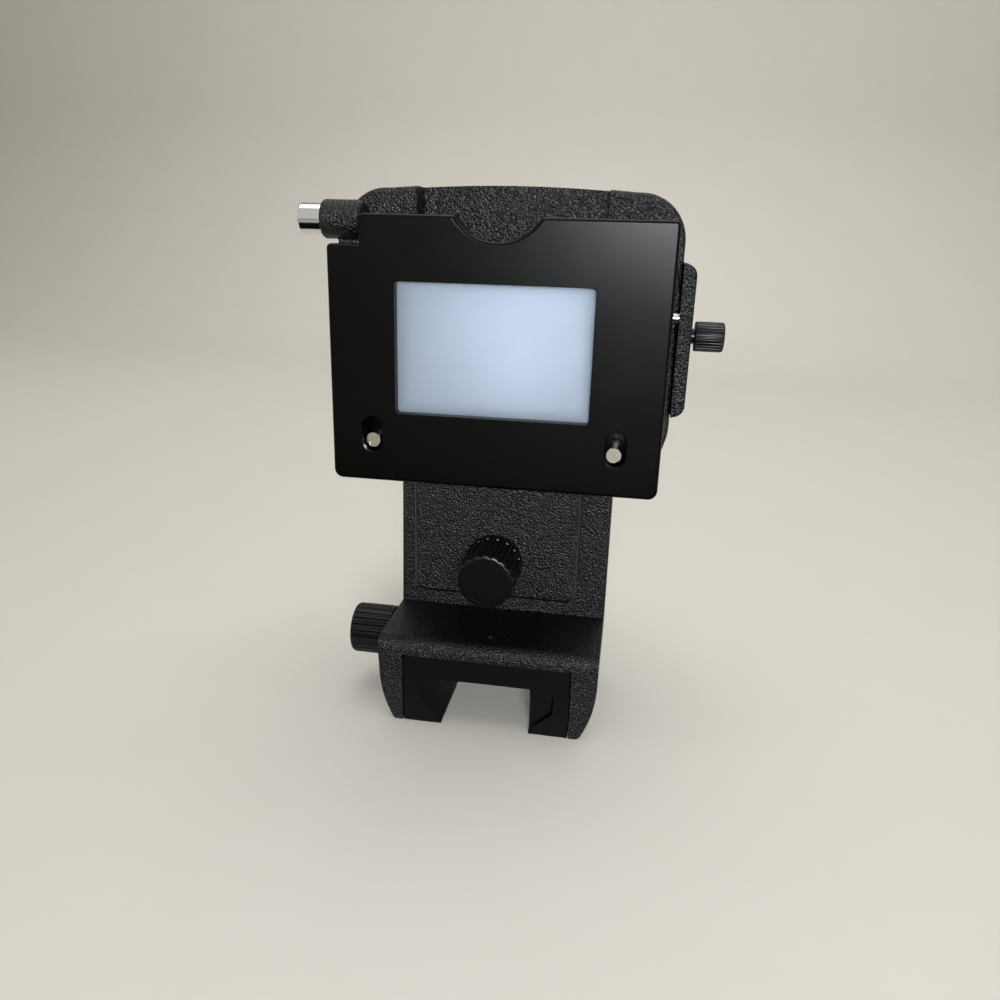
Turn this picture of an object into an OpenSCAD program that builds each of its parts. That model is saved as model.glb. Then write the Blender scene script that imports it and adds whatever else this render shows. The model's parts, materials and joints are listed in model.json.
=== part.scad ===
// Slide duplicator: a stage that holds a mounted slide or a film strip in front
// of a lens, on a bracket that clamps to the rail of a bellows.
// Millimetres. +X is right and +Z is up. The diffuser faces -Y, and the light
// leaves towards +Y. The origin is the middle of the foot's underside.

/* [Optics] */
// Height of the optical axis above the foot's underside
axis_z = 91.9; // [90:0.1:96]
// Width of the film gate
gate_w = 37; // [34:0.5:39]
// Height of the film gate
gate_h = 25; // [22:0.5:26]
// Width and height of a mounted slide
slide_size = 50.8; // [50:0.1:51]
// Clear depth of the slot that takes the slide
slot_gap = 4.4; // [4.3:0.1:5]

/* [Foot] */
// Width of the foot and of the column above it
foot_w = 53.6; // [51:0.2:58]
// Depth of the foot along the rail
foot_d = 36; // [34:0.5:42]
// Height of the foot's top face
foot_h = 21.8; // [21:0.2:24]
// Radius of the curve that draws in the foot's lower flanks
flank_r = 30; // [24:1:50]
// Height at which the flank curve starts
flank_z = 14; // [8:0.5:14]
// Radius of the foot's top front edge
brow_r = 3; // [1:0.5:4]
// Thickness of the column
column_t = 13.2; // [12.5:0.1:14]
// Height of the column's top
column_top = 58; // [56:0.5:58]
// Radius of the column's top corners
column_r = 4; // [1:0.5:6]

/* [Rail shoe] */
// Width of the shoe
shoe_w = 40.8; // [39:0.2:42]
// Height of the shoe
shoe_h = 18; // [17.8:0.1:18.6]
// Air between the shoe's sides and the recess in the foot
shoe_gap = 0.25; // [0.1:0.05:0.5]
// Width of the rail channel's mouth
mouth_w = 21.7; // [20:0.1:23]
// Width of the rail channel under its lips
undercut_w = 33; // [31:0.1:34]
// Height of the lips' tips
lip_h = 1; // [0.6:0.1:1.6]
// Height where the lips' slopes end
slope_top = 6.1; // [5:0.1:7]
// Height of the undercut's ceiling
undercut_top = 10.6; // [9.6:0.1:11]
// Height of the channel's ceiling
channel_top = 12.2; // [11.6:0.1:12.4]

/* [Rail clamp] */
// Height of the clamp screw's axis
clamp_z = 14.8; // [14.8:0.1:15.2]
// Diameter of the clamp screw
clamp_screw_d = 4; // [3:0.1:4.2]
// Travel of the clamp jaw
jaw_travel = 2; // [1:0.1:2.2]
// How far the jaw's ends lie inside the shoe's ends
jaw_inset = 1; // [0.3:0.1:3]
// Diameter of the clamp knob
clamp_knob_d = 13; // [11:0.2:15]
// Length of the clamp knob
clamp_knob_l = 10.6; // [9:0.2:14]
// Number of ribs round the clamp knob
clamp_ribs = 24; // [16:1:30]

/* [Head] */
// Width of the head
head_w = 73.4; // [73:0.1:76]
// Distance of the head's middle to the right of the optical axis
head_shift = 1.4; // [0.9:0.1:1.6]
// Height of the middle of the head's crowned top
head_top = 125.7; // [124.5:0.1:128]
// Rise of the crown from the corners to the middle
head_crown = 1.1; // [0.4:0.1:2]
// Height of the head's lower edge
head_bottom = 65; // [63:0.5:66]
// Thickness of the head and its arm
head_t = 13.7; // [13:0.1:15]
// Radius of the head's top corners
head_top_r = 9.6; // [6:0.1:13]
// Radius of the head's bottom corners
head_bottom_r = 11; // [6:0.5:13]
// Width of the arm below the head
arm_w = 39.5; // [37:0.5:42]
// Height of the arm's lower end
arm_bottom = 31.4; // [31:0.2:33]
// Radius of the arm's lower corners
arm_r = 2.5; // [1:0.5:4]
// Width of the thumb recess
thumb_w = 40.9; // [34:0.1:42]
// Depth of the thumb recess
thumb_d = 7; // [3:0.5:8]
// Width of the light tunnel through the head
tunnel_w = 52; // [48:0.5:52]
// Height of the light tunnel through the head
tunnel_h = 36; // [32:0.5:36]

/* [Vertical shift] */
// Height of the lock stud's axis
stud_z = 40.8; // [40:0.1:42]
// Diameter of the lock stud
stud_d = 4; // [3:0.1:4.4]
// Travel of the head each way
lift_travel = 6; // [3:0.5:6]
// Diameter of the lock knob
lift_knob_d = 13.4; // [11:0.2:15]
// Length of the lock knob with its washer
lift_knob_l = 12.9; // [10:0.1:15]
// Number of flutes round the lock knob
lift_flutes = 18; // [12:1:24]
// Width of the guide ribs behind the arm
rib_w = 4; // [3:0.1:5]
// Height of the guide ribs behind the arm
rib_h = 2; // [1:0.1:3]

/* [Sideways shift] */
// Travel of the stage each way
shift_travel = 3.5; // [2:0.1:3.5]
// Distance of the guide pins above the optical axis
pin_rise = 8; // [7.5:0.1:9]
// Diameter of the guide pins
pin_d = 2.3; // [2:0.1:2.4]
// Distance of the spindle above the optical axis
spindle_rise = 4; // [3.2:0.1:4]
// Diameter of the spindle
spindle_d = 2.4; // [2:0.1:2.6]
// Diameter of the shift knob
shift_knob_d = 6.3; // [5.5:0.1:8]
// Length of the shift knob
shift_knob_l = 6.2; // [5:0.1:8]
// Number of ribs round the shift knob
shift_ribs = 30; // [20:1:30]
// Thickness of the side cover
cover_t = 2.8; // [2.6:0.1:4]
// Height of the side cover
cover_h = 31.9; // [30:0.1:34]
// Height of the side cover's lower end
cover_bottom = 79.1; // [78:0.1:80]
// Depth of the side cover
cover_d = 12.6; // [11:0.2:13]
// Radius of the side cover's outer corners
cover_r = 2.5; // [1:0.1:2.5]

/* [Stage] */
// Thickness of the stage plate
stage_t = 2.2; // [1.8:0.1:2.6]
// Width of the stage plate
stage_w = 63; // [62:0.5:63]
// Height of the stage's top above the optical axis
stage_rise = 24; // [23:0.5:25]
// Distance of each guide post from the middle
post_x = 26.7; // [26.6:0.1:27]
// Distance of the guide posts below the optical axis
post_drop = 20.63; // [20:0.01:21]
// Diameter of a guide post's shank
post_d = 2.1; // [1.6:0.1:2.2]
// Diameter of a guide post's slotted head
post_head_d = 3.2; // [2.6:0.05:3.4]
// Depth of the posts' faces behind the plate's front
post_inset = 1.9; // [0.2:0.1:2.5]

/* [Front plate] */
// Width of the front plate
plate_w = 72; // [71:0.1:74]
// Distance of the front plate's middle to the right of the optical axis
plate_shift = 0.5; // [0:0.05:0.6]
// Thickness of the front plate
plate_t = 3.9; // [3.6:0.1:4.4]
// Height of the plate's lower edge below the optical axis
plate_drop = 29.5; // [28.8:0.1:30]
// Height of the plate's upper edge above the optical axis
plate_rise = 27.2; // [26.5:0.1:27.6]
// Width of the step at the plate's upper left corner
step_w = 6.9; // [6.8:0.1:8]
// Height of the step at the plate's upper left corner
step_h = 6.1; // [5.8:0.1:8]
// Width of the light window
window_w = 42; // [39:0.5:44]
// Height of the light window
window_h = 27.9; // [26:0.1:29]
// Radius of the light window's corners
window_r = 0.8; // [0.3:0.1:2]
// Depth of the diffuser's face behind the plate's front
window_d = 2.3; // [1.6:0.1:2.4]
// Width of the thumb notch
notch_w = 18; // [16:0.5:22]
// Depth of the thumb notch
notch_h = 5; // [3:0.1:6]
// Height of the posts' slots
slot_h = 7.9; // [7:0.1:9]
// Width of the posts' slots
slot_w = 4.5; // [4.3:0.1:5]
// Distance of the posts' slots to the right of the posts
slot_shift = 0.3; // [0:0.05:0.4]
// Distance of the hinge below the optical axis
hinge_drop = 27; // [26.8:0.1:27.3]
// Diameter of the hinge pins
hinge_d = 2; // [1.6:0.1:2.2]

/* [Release button] */
// Diameter of the button's barrel
barrel_d = 8; // [7.8:0.1:8.4]
// Length of the button's barrel
barrel_l = 9; // [8:0.1:11]
// Height of the barrel's axis above the optical axis
barrel_rise = 25.9; // [25.5:0.1:26.4]
// Diameter of the button
button_d = 6.5; // [6:0.1:6.6]
// How far the button stands out of its barrel
button_out = 5; // [4:0.1:6]
// Travel of the button
button_travel = 1.6; // [1:0.1:1.8]
// Diameter of the button's stem
stem_d = 1.7; // [1.2:0.1:1.8]

/* [Bellows] */
// Width of the bellows across its folds
bellows_w = 52; // [50:0.5:54]
// Height of the bellows across its folds
bellows_h = 50; // [48:0.5:50]
// Depth of the folds
fold_d = 5; // [3:0.5:6]
// Number of folds
folds = 8; // [5:1:10]
// Length of the bellows at rest
bellows_l = 24; // [18:0.5:30]
// Thickness of the bellows' skin
skin_t = 0.8; // [0.6:0.1:1]
// Inner diameter of the lens ring
ring_bore = 49; // [44:0.5:49]
// Outer diameter of the lens ring
ring_d = 55; // [54:0.5:58]
// Depth of the lens ring
ring_l = 8; // [6:0.5:12]

/* [Hidden] */

$fn = 64;
// Overshoot of a cutting tool past the face that it opens
over = 1;
// Gap between parts that slide past each other
run = 0.3;
// Radial clearance of a shaft in its bearing
fit = 0.05;

// Front faces, one behind the other
column_front = foot_d / 2 - column_t;
head_back = column_front - run;
head_front = head_back - head_t;
stage_back = head_front - 0.2;
stage_front = stage_back - stage_t;
plate_back = stage_front - slot_gap;
plate_front = plate_back - plate_t;

head_right = head_shift + head_w / 2;
head_left = head_shift - head_w / 2;
head_shoulder = head_top - head_crown;
plate_left = plate_shift - plate_w / 2;
plate_right = plate_shift + plate_w / 2;
plate_low = axis_z - plate_drop;
plate_high = axis_z + plate_rise;
window_low = axis_z - window_h / 2;

// The hinge of the front plate lies in the slide slot, below the slide
hinge_y = plate_back + 2.7;
hinge_z = axis_z - hinge_drop;
knuckle_r = 2.1;
knuckle_l = 3.3;
ear_gap = 0.3;
ear_l = 2.8;
ledge_z = axis_z - slide_size / 2 + 0.4;
ledge_t = 2.7;

// The lugs that carry the stage on its guide pins
pin_y = head_front - 0.7;
pin_z = axis_z + pin_rise;
lug_l = 4.5;
lug_outer = stage_w / 2 - 1.5;
lug_inner = lug_outer - lug_l;
lug_r = pin_d / 2 + 1.15;
pin_inner = lug_inner - shift_travel;
pocket_inner = lug_inner - shift_travel - run;
pocket_outer = lug_outer + shift_travel + run;
spindle_y = head_front + 2.9;
spindle_z = axis_z + spindle_rise;
nut_r = spindle_d / 2 + 1.3;
tongue_z = ledge_z + 1.9;
tongue_h = 2;
tongue_w = 48;
tongue_d = 2;

// The release latch at the stage's upper left
barrel_y = head_front - barrel_d / 2 - run;
barrel_z = axis_z + barrel_rise;
barrel_right = plate_left + step_w - run;
barrel_left = barrel_right - barrel_l;
barrel_floor = 1.5;
button_in = 2;
button_rim = barrel_left + button_in;
latch_lug_l = 1.3;
latch_lug_x = barrel_right + run + 0.5;
latch_tip_x = latch_lug_x + latch_lug_l + 0.15;
latch_tip_l = 1.1;
latch_tip_r = 1.5;

// The clamp that holds the foot on its rail
shoe_wall = undercut_w / 2;
jaw_face = mouth_w / 2 + 0.05;
riser_l = 6.4;
riser_x = shoe_w / 2 - 0.8 - riser_l;
riser_d = 10;
bush_d = 6.4;
bush_flange_d = 9;
bush_flange_t = 0.8;
clamp_knob_x = -foot_w / 2 - bush_flange_t - 0.1;

// The lock of the vertical shift
washer_t = 0.6;
lock_plate_w = 14;
lock_plate_h = 12;
lock_plate_t = 3;
lock_pocket_d = 4.8;
groove_x = 13;
rib_bottom = arm_bottom + 7;
groove_play = 0.15;

frame_t = 1.5;
front_frame_w = 62;
front_frame_h = 54;
rear_frame_w = 55;
rear_frame_h = 53;
rear_frame_t = 2.5;
rear_lip = 2.5;
front_frame_back = head_back + frame_t;
rear_frame_front = front_frame_back + bellows_l;
ring_front = rear_frame_front + rear_frame_t;

// Corner screws of a frame: distance of each from the frame's edges
screw_inset = 3;
screw_d = 2;
screw_head_d = 3.6;
screw_head_t = 1.1;
// Depth of a screw's hole in the head, and how far the frame's screws stop short of it
screw_hole = 5;
screw_short = 0.5;

module along_x(x0, x1, y, z) {
    translate([x0, y, z]) rotate([90, 0, 90]) linear_extrude(x1 - x0) children();
}

// Extrudes a drawing in X and Z from y0 back to y1
module along_y(y0, y1) {
    translate([0, y1, 0]) rotate([90, 0, 0]) linear_extrude(y1 - y0) children();
}

module box(x0, x1, y0, y1, z0, z1) {
    translate([x0, y0, z0]) cube([x1 - x0, y1 - y0, z1 - z0]);
}

module rod_x(d, x0, x1, y, z) {
    along_x(x0, x1, y, z) circle(d = d);
}

module rod_y(d, y0, y1, x, z) {
    translate([x, y0, z]) rotate([-90, 0, 0]) cylinder(d = d, h = y1 - y0);
}

// Rectangle from two corners, with lower corners of radius low and upper ones of radius high
module soft_rect(x0, x1, z0, z1, low, high) {
    translate([x0 + low, z0]) square([x1 - x0 - 2 * low, low]);
    translate([x0 + high, z1 - high]) square([x1 - x0 - 2 * high, high]);
    translate([x0, z0 + low]) square([x1 - x0, z1 - z0 - low - high]);
    for (x = [x0 + low, x1 - low]) translate([x, z0 + low]) circle(r = low);
    for (x = [x0 + high, x1 - high]) translate([x, z1 - high]) circle(r = high);
}

// Half of the section of a round bar, with edges of radius low and high
module round_profile(r, l, low, high) {
    translate([0, low]) square([r, l - low - high]);
    square([r - low, l / 2]);
    translate([0, l / 2]) square([r - high, l / 2]);
    intersection() {
        union() {
            if (low > 0) translate([r - low, low]) circle(r = low);
            translate([r - high, l - high]) circle(r = high);
        }
        square([r, l]);
    }
}

// A screw along +Y whose flat head starts at y, with a straight slot
module slotted_screw(x, y, z, shank, turn) {
    difference() {
        union() {
            rod_y(screw_head_d, y, y + screw_head_t, x, z);
            rod_y(screw_d, y + screw_head_t, y + screw_head_t + shank, x, z);
        }
        translate([x, y, z]) rotate([0, turn, 0])
            cube([screw_head_d + over, 0.8, 0.5], center = true);
    }
}

// A knob round +Z: a chamfered cylinder with round grooves cut down its side
module ribbed_knob(d, l, ribs, groove_r, bevel, collar) {
    r = d / 2;
    difference() {
        rotate_extrude() polygon([
            [0, 0], [r - 0.3, 0], [r, 0.3], [r, l - bevel], [r - bevel, l], [0, l]
        ]);
        for (i = [0:ribs - 1])
            rotate([0, 0, 360 * i / ribs])
                translate([r + groove_r * 0.25, 0, collar]) cylinder(r = groove_r, h = l, $fn = 16);
    }
}

// ---------------------------------------------------------------- base

module foot_half() {
    translate([0, flank_z]) square([foot_w / 2, foot_h - flank_z]);
    intersection() {
        square([foot_w / 2, flank_z]);
        translate([foot_w / 2 - flank_r, flank_z]) circle(r = flank_r, $fn = 160);
    }
}

module foot_outline() {
    foot_half();
    mirror([1, 0]) foot_half();
}

module brow_cutter() {
    difference() {
        box(-foot_w, foot_w, -foot_d / 2 - over, -foot_d / 2 + brow_r, foot_h - brow_r, foot_h + over);
        rod_x(2 * brow_r, -foot_w, foot_w, -foot_d / 2 + brow_r, foot_h - brow_r);
    }
}

// Where the four screws of the rail shoe stand
shoe_screw_x = 6.5;
shoe_screw_y = 12;
shoe_screw_top = foot_h - 1.2;
shoe_pin_y = -foot_d / 2 + 5.8;
shoe_pin_d = 1.3;
shoe_pin_deep = 0.4;

module base_bracket() {
    color([0.07, 0.07, 0.075]) difference() {
        union() {
            along_y(-foot_d / 2, foot_d / 2) foot_outline();
            along_y(column_front, foot_d / 2)
                soft_rect(-foot_w / 2, foot_w / 2, foot_h - 2, column_top, 0.5, column_r);
        }
        brow_cutter();
        box(-shoe_w / 2 - shoe_gap, shoe_w / 2 + shoe_gap, -foot_d, foot_d, -over, shoe_h);
        rod_x(bush_d, -foot_w, 0, 0, clamp_z);
        for (x = [-shoe_screw_x, shoe_screw_x], y = [-shoe_screw_y, shoe_screw_y])
            translate([x, y, shoe_h - over]) cylinder(d = 3, h = shoe_screw_top - shoe_h + over);
        translate([0, shoe_pin_y, shoe_h - over]) cylinder(d = shoe_pin_d, h = foot_h);
        translate([0, shoe_pin_y, foot_h - shoe_pin_deep]) cylinder(d = 2.2, h = over);
        lock_slot();
        for (side = [-1, 1]) guide_groove(side);
    }
}

// The slot for the lock stud, and the pocket behind it for the clamp plate
module lock_slot() {
    reach = lift_travel + stud_d / 2 + run;
    half = stud_d / 2 + run;
    box(-half, half, 0, foot_d, stud_z - reach, stud_z + reach);
    box(-lock_plate_w / 2 - run, lock_plate_w / 2 + run, foot_d / 2 - lock_pocket_d, foot_d,
        stud_z - lock_plate_h / 2 - lift_travel - run, stud_z + lock_plate_h / 2 + lift_travel + run);
}

module guide_groove(side) {
    half = rib_w / 2 + groove_play;
    box(side * groove_x - half, side * groove_x + half, 0, column_front + rib_h + run,
        rib_bottom - lift_travel - run, column_top + over);
}

module channel_outline() {
    half = mouth_w / 2;
    polygon([
        [-half, -over], [-half, lip_h], [-shoe_wall, slope_top], [-shoe_wall, undercut_top],
        [-half, undercut_top], [-half, channel_top], [half, channel_top], [half, undercut_top],
        [shoe_wall, undercut_top], [shoe_wall, slope_top], [half, lip_h], [half, -over]
    ]);
}

module rail_shoe() {
    color([0.1, 0.1, 0.105]) difference() {
        along_y(-foot_d / 2, foot_d / 2) difference() {
            soft_rect(-shoe_w / 2, shoe_w / 2, 0, shoe_h, 0.3, 1);
            channel_outline();
        }
        rod_x(clamp_screw_d + 2 * run, -foot_w, foot_w, 0, clamp_z);
        box(riser_x - jaw_travel - run, shoe_w, -riser_d / 2 - run, riser_d / 2 + run,
            undercut_top - over, shoe_h + over);
        for (x = [-shoe_screw_x, shoe_screw_x], y = [-shoe_screw_y, shoe_screw_y]) {
            translate([x, y, 0]) cylinder(d = 3, h = foot_h);
            translate([x, y, channel_top - 0.01]) cylinder(d1 = 5.6, d2 = 3, h = 1.6);
        }
        translate([0, shoe_pin_y, channel_top + 1]) cylinder(d = shoe_pin_d, h = foot_h);
    }
}

module shoe_screws() {
    color([0.3, 0.3, 0.32])
        for (x = [-shoe_screw_x, shoe_screw_x], y = [-shoe_screw_y, shoe_screw_y])
            translate([x, y, 0]) difference() {
                rotate_extrude() polygon([
                    [0, channel_top], [2.7, channel_top], [1.5, channel_top + 1.45],
                    [1.5, shoe_screw_top], [0, shoe_screw_top]
                ]);
                translate([0, 0, channel_top]) cube([0.7, 8, 1.2], center = true);
            }
}

module shoe_pin() {
    color([0.85, 0.85, 0.85]) translate([0, shoe_pin_y, channel_top + 1])
        cylinder(d = shoe_pin_d, h = foot_h - shoe_pin_deep - channel_top - 1);
}

module clamp_bush() {
    x0 = -foot_w / 2;
    color([0.75, 0.6, 0.3]) difference() {
        union() {
            rod_x(bush_flange_d, x0 - bush_flange_t, x0, 0, clamp_z);
            rod_x(bush_d, x0, -shoe_w / 2 - shoe_gap, 0, clamp_z);
        }
        rod_x(clamp_screw_d + 2 * fit, x0 - over, 0, 0, clamp_z);
    }
}

module clamp_knob() {
    color([0.05, 0.05, 0.055]) difference() {
        translate([clamp_knob_x, 0, clamp_z]) rotate([0, -90, 0])
            ribbed_knob(clamp_knob_d, clamp_knob_l, clamp_ribs, 0.55, 0.9, 0.8);
        rod_x(clamp_screw_d, clamp_knob_x - clamp_knob_l + 3, 0, 0, clamp_z);
    }
}

module clamp_screw() {
    color([0.7, 0.7, 0.72])
        rod_x(clamp_screw_d, clamp_knob_x - clamp_knob_l + 3, riser_x + riser_l + 0.3, 0, clamp_z);
}

// The jaw: a bar in the shoe's right undercut, with a riser that the screw pulls
module clamp_jaw() {
    slope = (slope_top - lip_h) / (shoe_wall - mouth_w / 2);
    back = shoe_wall - run;
    lift = lip_h + 0.5;
    roof = undercut_top - run;
    color([0.16, 0.16, 0.165]) difference() {
        union() {
            along_y(-foot_d / 2 + jaw_inset, foot_d / 2 - jaw_inset) polygon([
                [jaw_face, lift], [back, lift + slope * (back - jaw_face)], [back, roof], [jaw_face, roof]
            ]);
            box(riser_x, riser_x + riser_l, -riser_d / 2, riser_d / 2, roof, shoe_h - run);
            box(riser_x, back, -riser_d / 2, riser_d / 2, roof - over, roof);
        }
        rod_x(clamp_screw_d + 2 * fit, 0, foot_w, 0, clamp_z);
    }
}

// ---------------------------------------------------------------- head

module head_outline() {
    // The crown ends on the straight top, 1 mm inside the curves of the corners
    half = head_w / 2 - head_top_r - 1;
    crown_r = (half * half + head_crown * head_crown) / (2 * head_crown);
    soft_rect(head_left, head_right, head_bottom, head_shoulder, head_bottom_r, head_top_r);
    intersection() {
        translate([head_shift - half - 0.5, head_shoulder - 2]) square([2 * half + 1, head_crown + 4]);
        translate([head_shift, head_top - crown_r]) circle(r = crown_r, $fn = 720);
    }
    soft_rect(-arm_w / 2, arm_w / 2, arm_bottom, head_bottom + head_bottom_r, arm_r, 1);
}

// Room for a lug of the stage and its travel, in the head's front
module lug_pocket(side, low, high, deep) {
    x0 = side > 0 ? pocket_inner : -pocket_outer;
    x1 = side > 0 ? pocket_outer : -pocket_inner;
    box(x0, x1, head_front - over, head_front + deep, low - run, high + run);
}

module head_bracket() {
    lug_low = pin_z - lug_r;
    lug_high = pin_z + lug_r;
    ear_x = pocket_outer;
    thumb_x = head_shift + 0.25;
    color([0.07, 0.07, 0.075]) difference() {
        union() {
            along_y(head_front, head_back) head_outline();
            box(head_left, -ear_x, pin_y - lug_r, head_front + over, lug_low, lug_high);
            for (side = [-1, 1])
                box(side * groove_x - rib_w / 2, side * groove_x + rib_w / 2, head_back - over,
                    head_back + rib_h, rib_bottom, head_bottom - 3);
        }
        box(-tunnel_w / 2, tunnel_w / 2, head_front - over, head_back + over,
            axis_z - tunnel_h / 2, axis_z + tunnel_h / 2);
        along_y(head_front - over, head_front + thumb_d)
            soft_rect(thumb_x - thumb_w / 2, thumb_x + thumb_w / 2, thumb_low, head_top + 9, 3, 1);
        lug_pocket(1, spindle_z - nut_r, lug_high, spindle_y - head_front + nut_r + run);
        lug_pocket(-1, lug_low, lug_high, pin_y - head_front + lug_r + run);
        rod_x(pin_d, head_left + 0.4, head_right + over, pin_y, pin_z);
        box(-tongue_w / 2 - shift_travel - run, tongue_w / 2 + shift_travel + run, head_front - over,
            head_front + tongue_d + run - 0.2, tongue_z - 0.15, tongue_z + tongue_h + 0.15);
        rod_x(spindle_d + 2 * fit, pocket_outer - over, head_right + over, spindle_y, spindle_z);
        rod_y(stud_d + 2 * fit, head_front - over, head_back + over, 0, stud_z);
        box(-arm_w / 2 + 9, arm_w / 2 - 9, head_front + 4, head_back + over, stud_z + 9, head_bottom + 3);
        for (z = cover_screw_zs)
            rod_x(screw_d, head_right - screw_hole, head_right + over, cover_screw_y, z);
        for (x = front_frame_xs, z = front_frame_zs)
            rod_y(screw_d, head_back - screw_hole, head_back + over, x, z);
    }
}

thumb_low = axis_z + tunnel_h / 2 + 2;
cover_front = head_front - 3.3;
cover_screw_y = cover_front + cover_d - 3.5;
cover_screw_zs = [cover_bottom + 5, cover_bottom + cover_h - 5];
front_frame_xs = [-front_frame_w / 2 + screw_inset, front_frame_w / 2 - screw_inset];
front_frame_zs = [axis_z - front_frame_h / 2 + screw_inset, axis_z + front_frame_h / 2 - screw_inset];
rear_frame_xs = [-rear_frame_w / 2 + screw_inset - 0.4, rear_frame_w / 2 - screw_inset + 0.4];
rear_frame_zs = [axis_z - rear_frame_h / 2 + screw_inset - 0.4, axis_z + rear_frame_h / 2 - screw_inset + 0.4];

module lock_stud() {
    color([0.7, 0.7, 0.72]) rod_y(stud_d, head_front - lift_knob_l + 3, lock_plate_y + lock_plate_t, 0, stud_z);
}

lock_plate_y = foot_d / 2 - lock_pocket_d + 0.1;

module clamp_plate() {
    color([0.6, 0.6, 0.62]) difference() {
        box(-lock_plate_w / 2, lock_plate_w / 2, lock_plate_y, lock_plate_y + lock_plate_t,
            stud_z - lock_plate_h / 2, stud_z + lock_plate_h / 2);
        rod_y(stud_d, 0, foot_d, 0, stud_z);
    }
}

module lock_washer() {
    color([0.12, 0.12, 0.12]) difference() {
        rod_y(lift_knob_d + 0.4, head_front - washer_t, head_front, 0, stud_z);
        rod_y(stud_d, -foot_d, foot_d, 0, stud_z);
    }
}

cap_d = lift_knob_d - 3;
cap_t = 0.8;

module lift_knob() {
    l = lift_knob_l - washer_t - 0.1;
    color([0.04, 0.04, 0.045]) difference() {
        translate([0, head_front - washer_t - 0.1, stud_z]) rotate([90, 0, 0])
            ribbed_knob(lift_knob_d, l, lift_flutes, 0.75, 1, 0.9);
        rod_y(stud_d + 2 * fit, head_front - lift_knob_l + 3 - fit, 0, 0, stud_z);
        rod_y(cap_d, head_front - lift_knob_l - over, head_front - lift_knob_l + cap_t, 0, stud_z);
    }
}

module lift_knob_cap() {
    color([0.08, 0.08, 0.085])
        rod_y(cap_d, head_front - lift_knob_l + 0.15, head_front - lift_knob_l + cap_t, 0, stud_z);
}

module guide_pins() {
    color([0.85, 0.85, 0.84]) {
        rod_x(pin_d, pin_inner, head_right + cover_t - 1, pin_y, pin_z);
        rod_x(pin_d, head_left + 0.4, -pin_inner, pin_y, pin_z);
    }
}

module side_cover() {
    color([0.07, 0.07, 0.075]) difference() {
        along_y(cover_front, cover_front + cover_d) intersection() {
            soft_rect(head_right - cover_d, head_right + cover_t, cover_bottom, cover_bottom + cover_h,
                cover_r, cover_r);
            translate([head_right, cover_bottom]) square([cover_t, cover_h]);
        }
        rod_x(pin_d, head_right - over, head_right + cover_t - 1, pin_y, pin_z);
        rod_x(spindle_d + 2 * fit, head_right - over, head_right + cover_t + over, spindle_y, spindle_z);
        for (z = cover_screw_zs) {
            rod_x(screw_d, head_right - over, head_right + cover_t + over, cover_screw_y, z);
            rod_x(screw_head_d, head_right + cover_t - screw_head_t, head_right + cover_t + over, cover_screw_y, z);
        }
    }
}

module cover_screws() {
    x0 = head_right + cover_t - screw_head_t;
    color([0.25, 0.25, 0.26])
        for (z = cover_screw_zs) difference() {
            union() {
                rod_x(screw_d, head_right - screw_hole, x0, cover_screw_y, z);
                rod_x(screw_head_d, x0, x0 + screw_head_t, cover_screw_y, z);
            }
            translate([x0 + screw_head_t, cover_screw_y, z]) rotate([35, 0, 0]) cube([0.8, 6, 0.5], center = true);
        }
}

shift_knob_x = head_right + cover_t + 0.9;

module shift_knob() {
    color([0.06, 0.06, 0.065]) difference() {
        union() {
            translate([shift_knob_x, spindle_y, spindle_z]) rotate([0, 90, 0])
                ribbed_knob(shift_knob_d, shift_knob_l, shift_ribs, 0.22, 0.5, -over);
            rod_x(spindle_d + 0.8, head_right + cover_t + 0.1, shift_knob_x + 0.2, spindle_y, spindle_z);
        }
        rod_x(spindle_d, head_right, shift_knob_x + shift_knob_l - 1.5, spindle_y, spindle_z);
    }
}

module shift_spindle() {
    color([0.8, 0.8, 0.8])
        rod_x(spindle_d, pin_inner, shift_knob_x + shift_knob_l - 1.5, spindle_y, spindle_z);
}

// ---------------------------------------------------------------- stage

stage_dip = 5;

// The stage's top lies lower in the middle, so that a slide's upper edge stands free
module stage_outline() {
    cheek = 6.5;
    half = stage_w / 2;
    low = hinge_z - knuckle_r;
    difference() {
        translate([-half, low]) square([stage_w, axis_z + stage_rise - low]);
        translate([-half + cheek, axis_z + stage_rise - stage_dip])
            square([stage_w - 2 * cheek, 2 * stage_dip]);
        // Room for the barrel, and for the ear of the head that holds the left guide pin
        translate([-half - over, barrel_z - barrel_d / 2 - run])
            square([barrel_right + run + half + over, barrel_d]);
        translate([-half - over, pin_z - lug_r - run])
            square([half + over - lug_outer, 2 * (lug_r + run)]);
        translate([-gate_w / 2, axis_z - gate_h / 2]) square([gate_w, gate_h]);
    }
}

module stage_lug(side) {
    x0 = side > 0 ? lug_inner : -lug_outer;
    rod_x(2 * lug_r, x0, x0 + lug_l, pin_y, pin_z);
}

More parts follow.
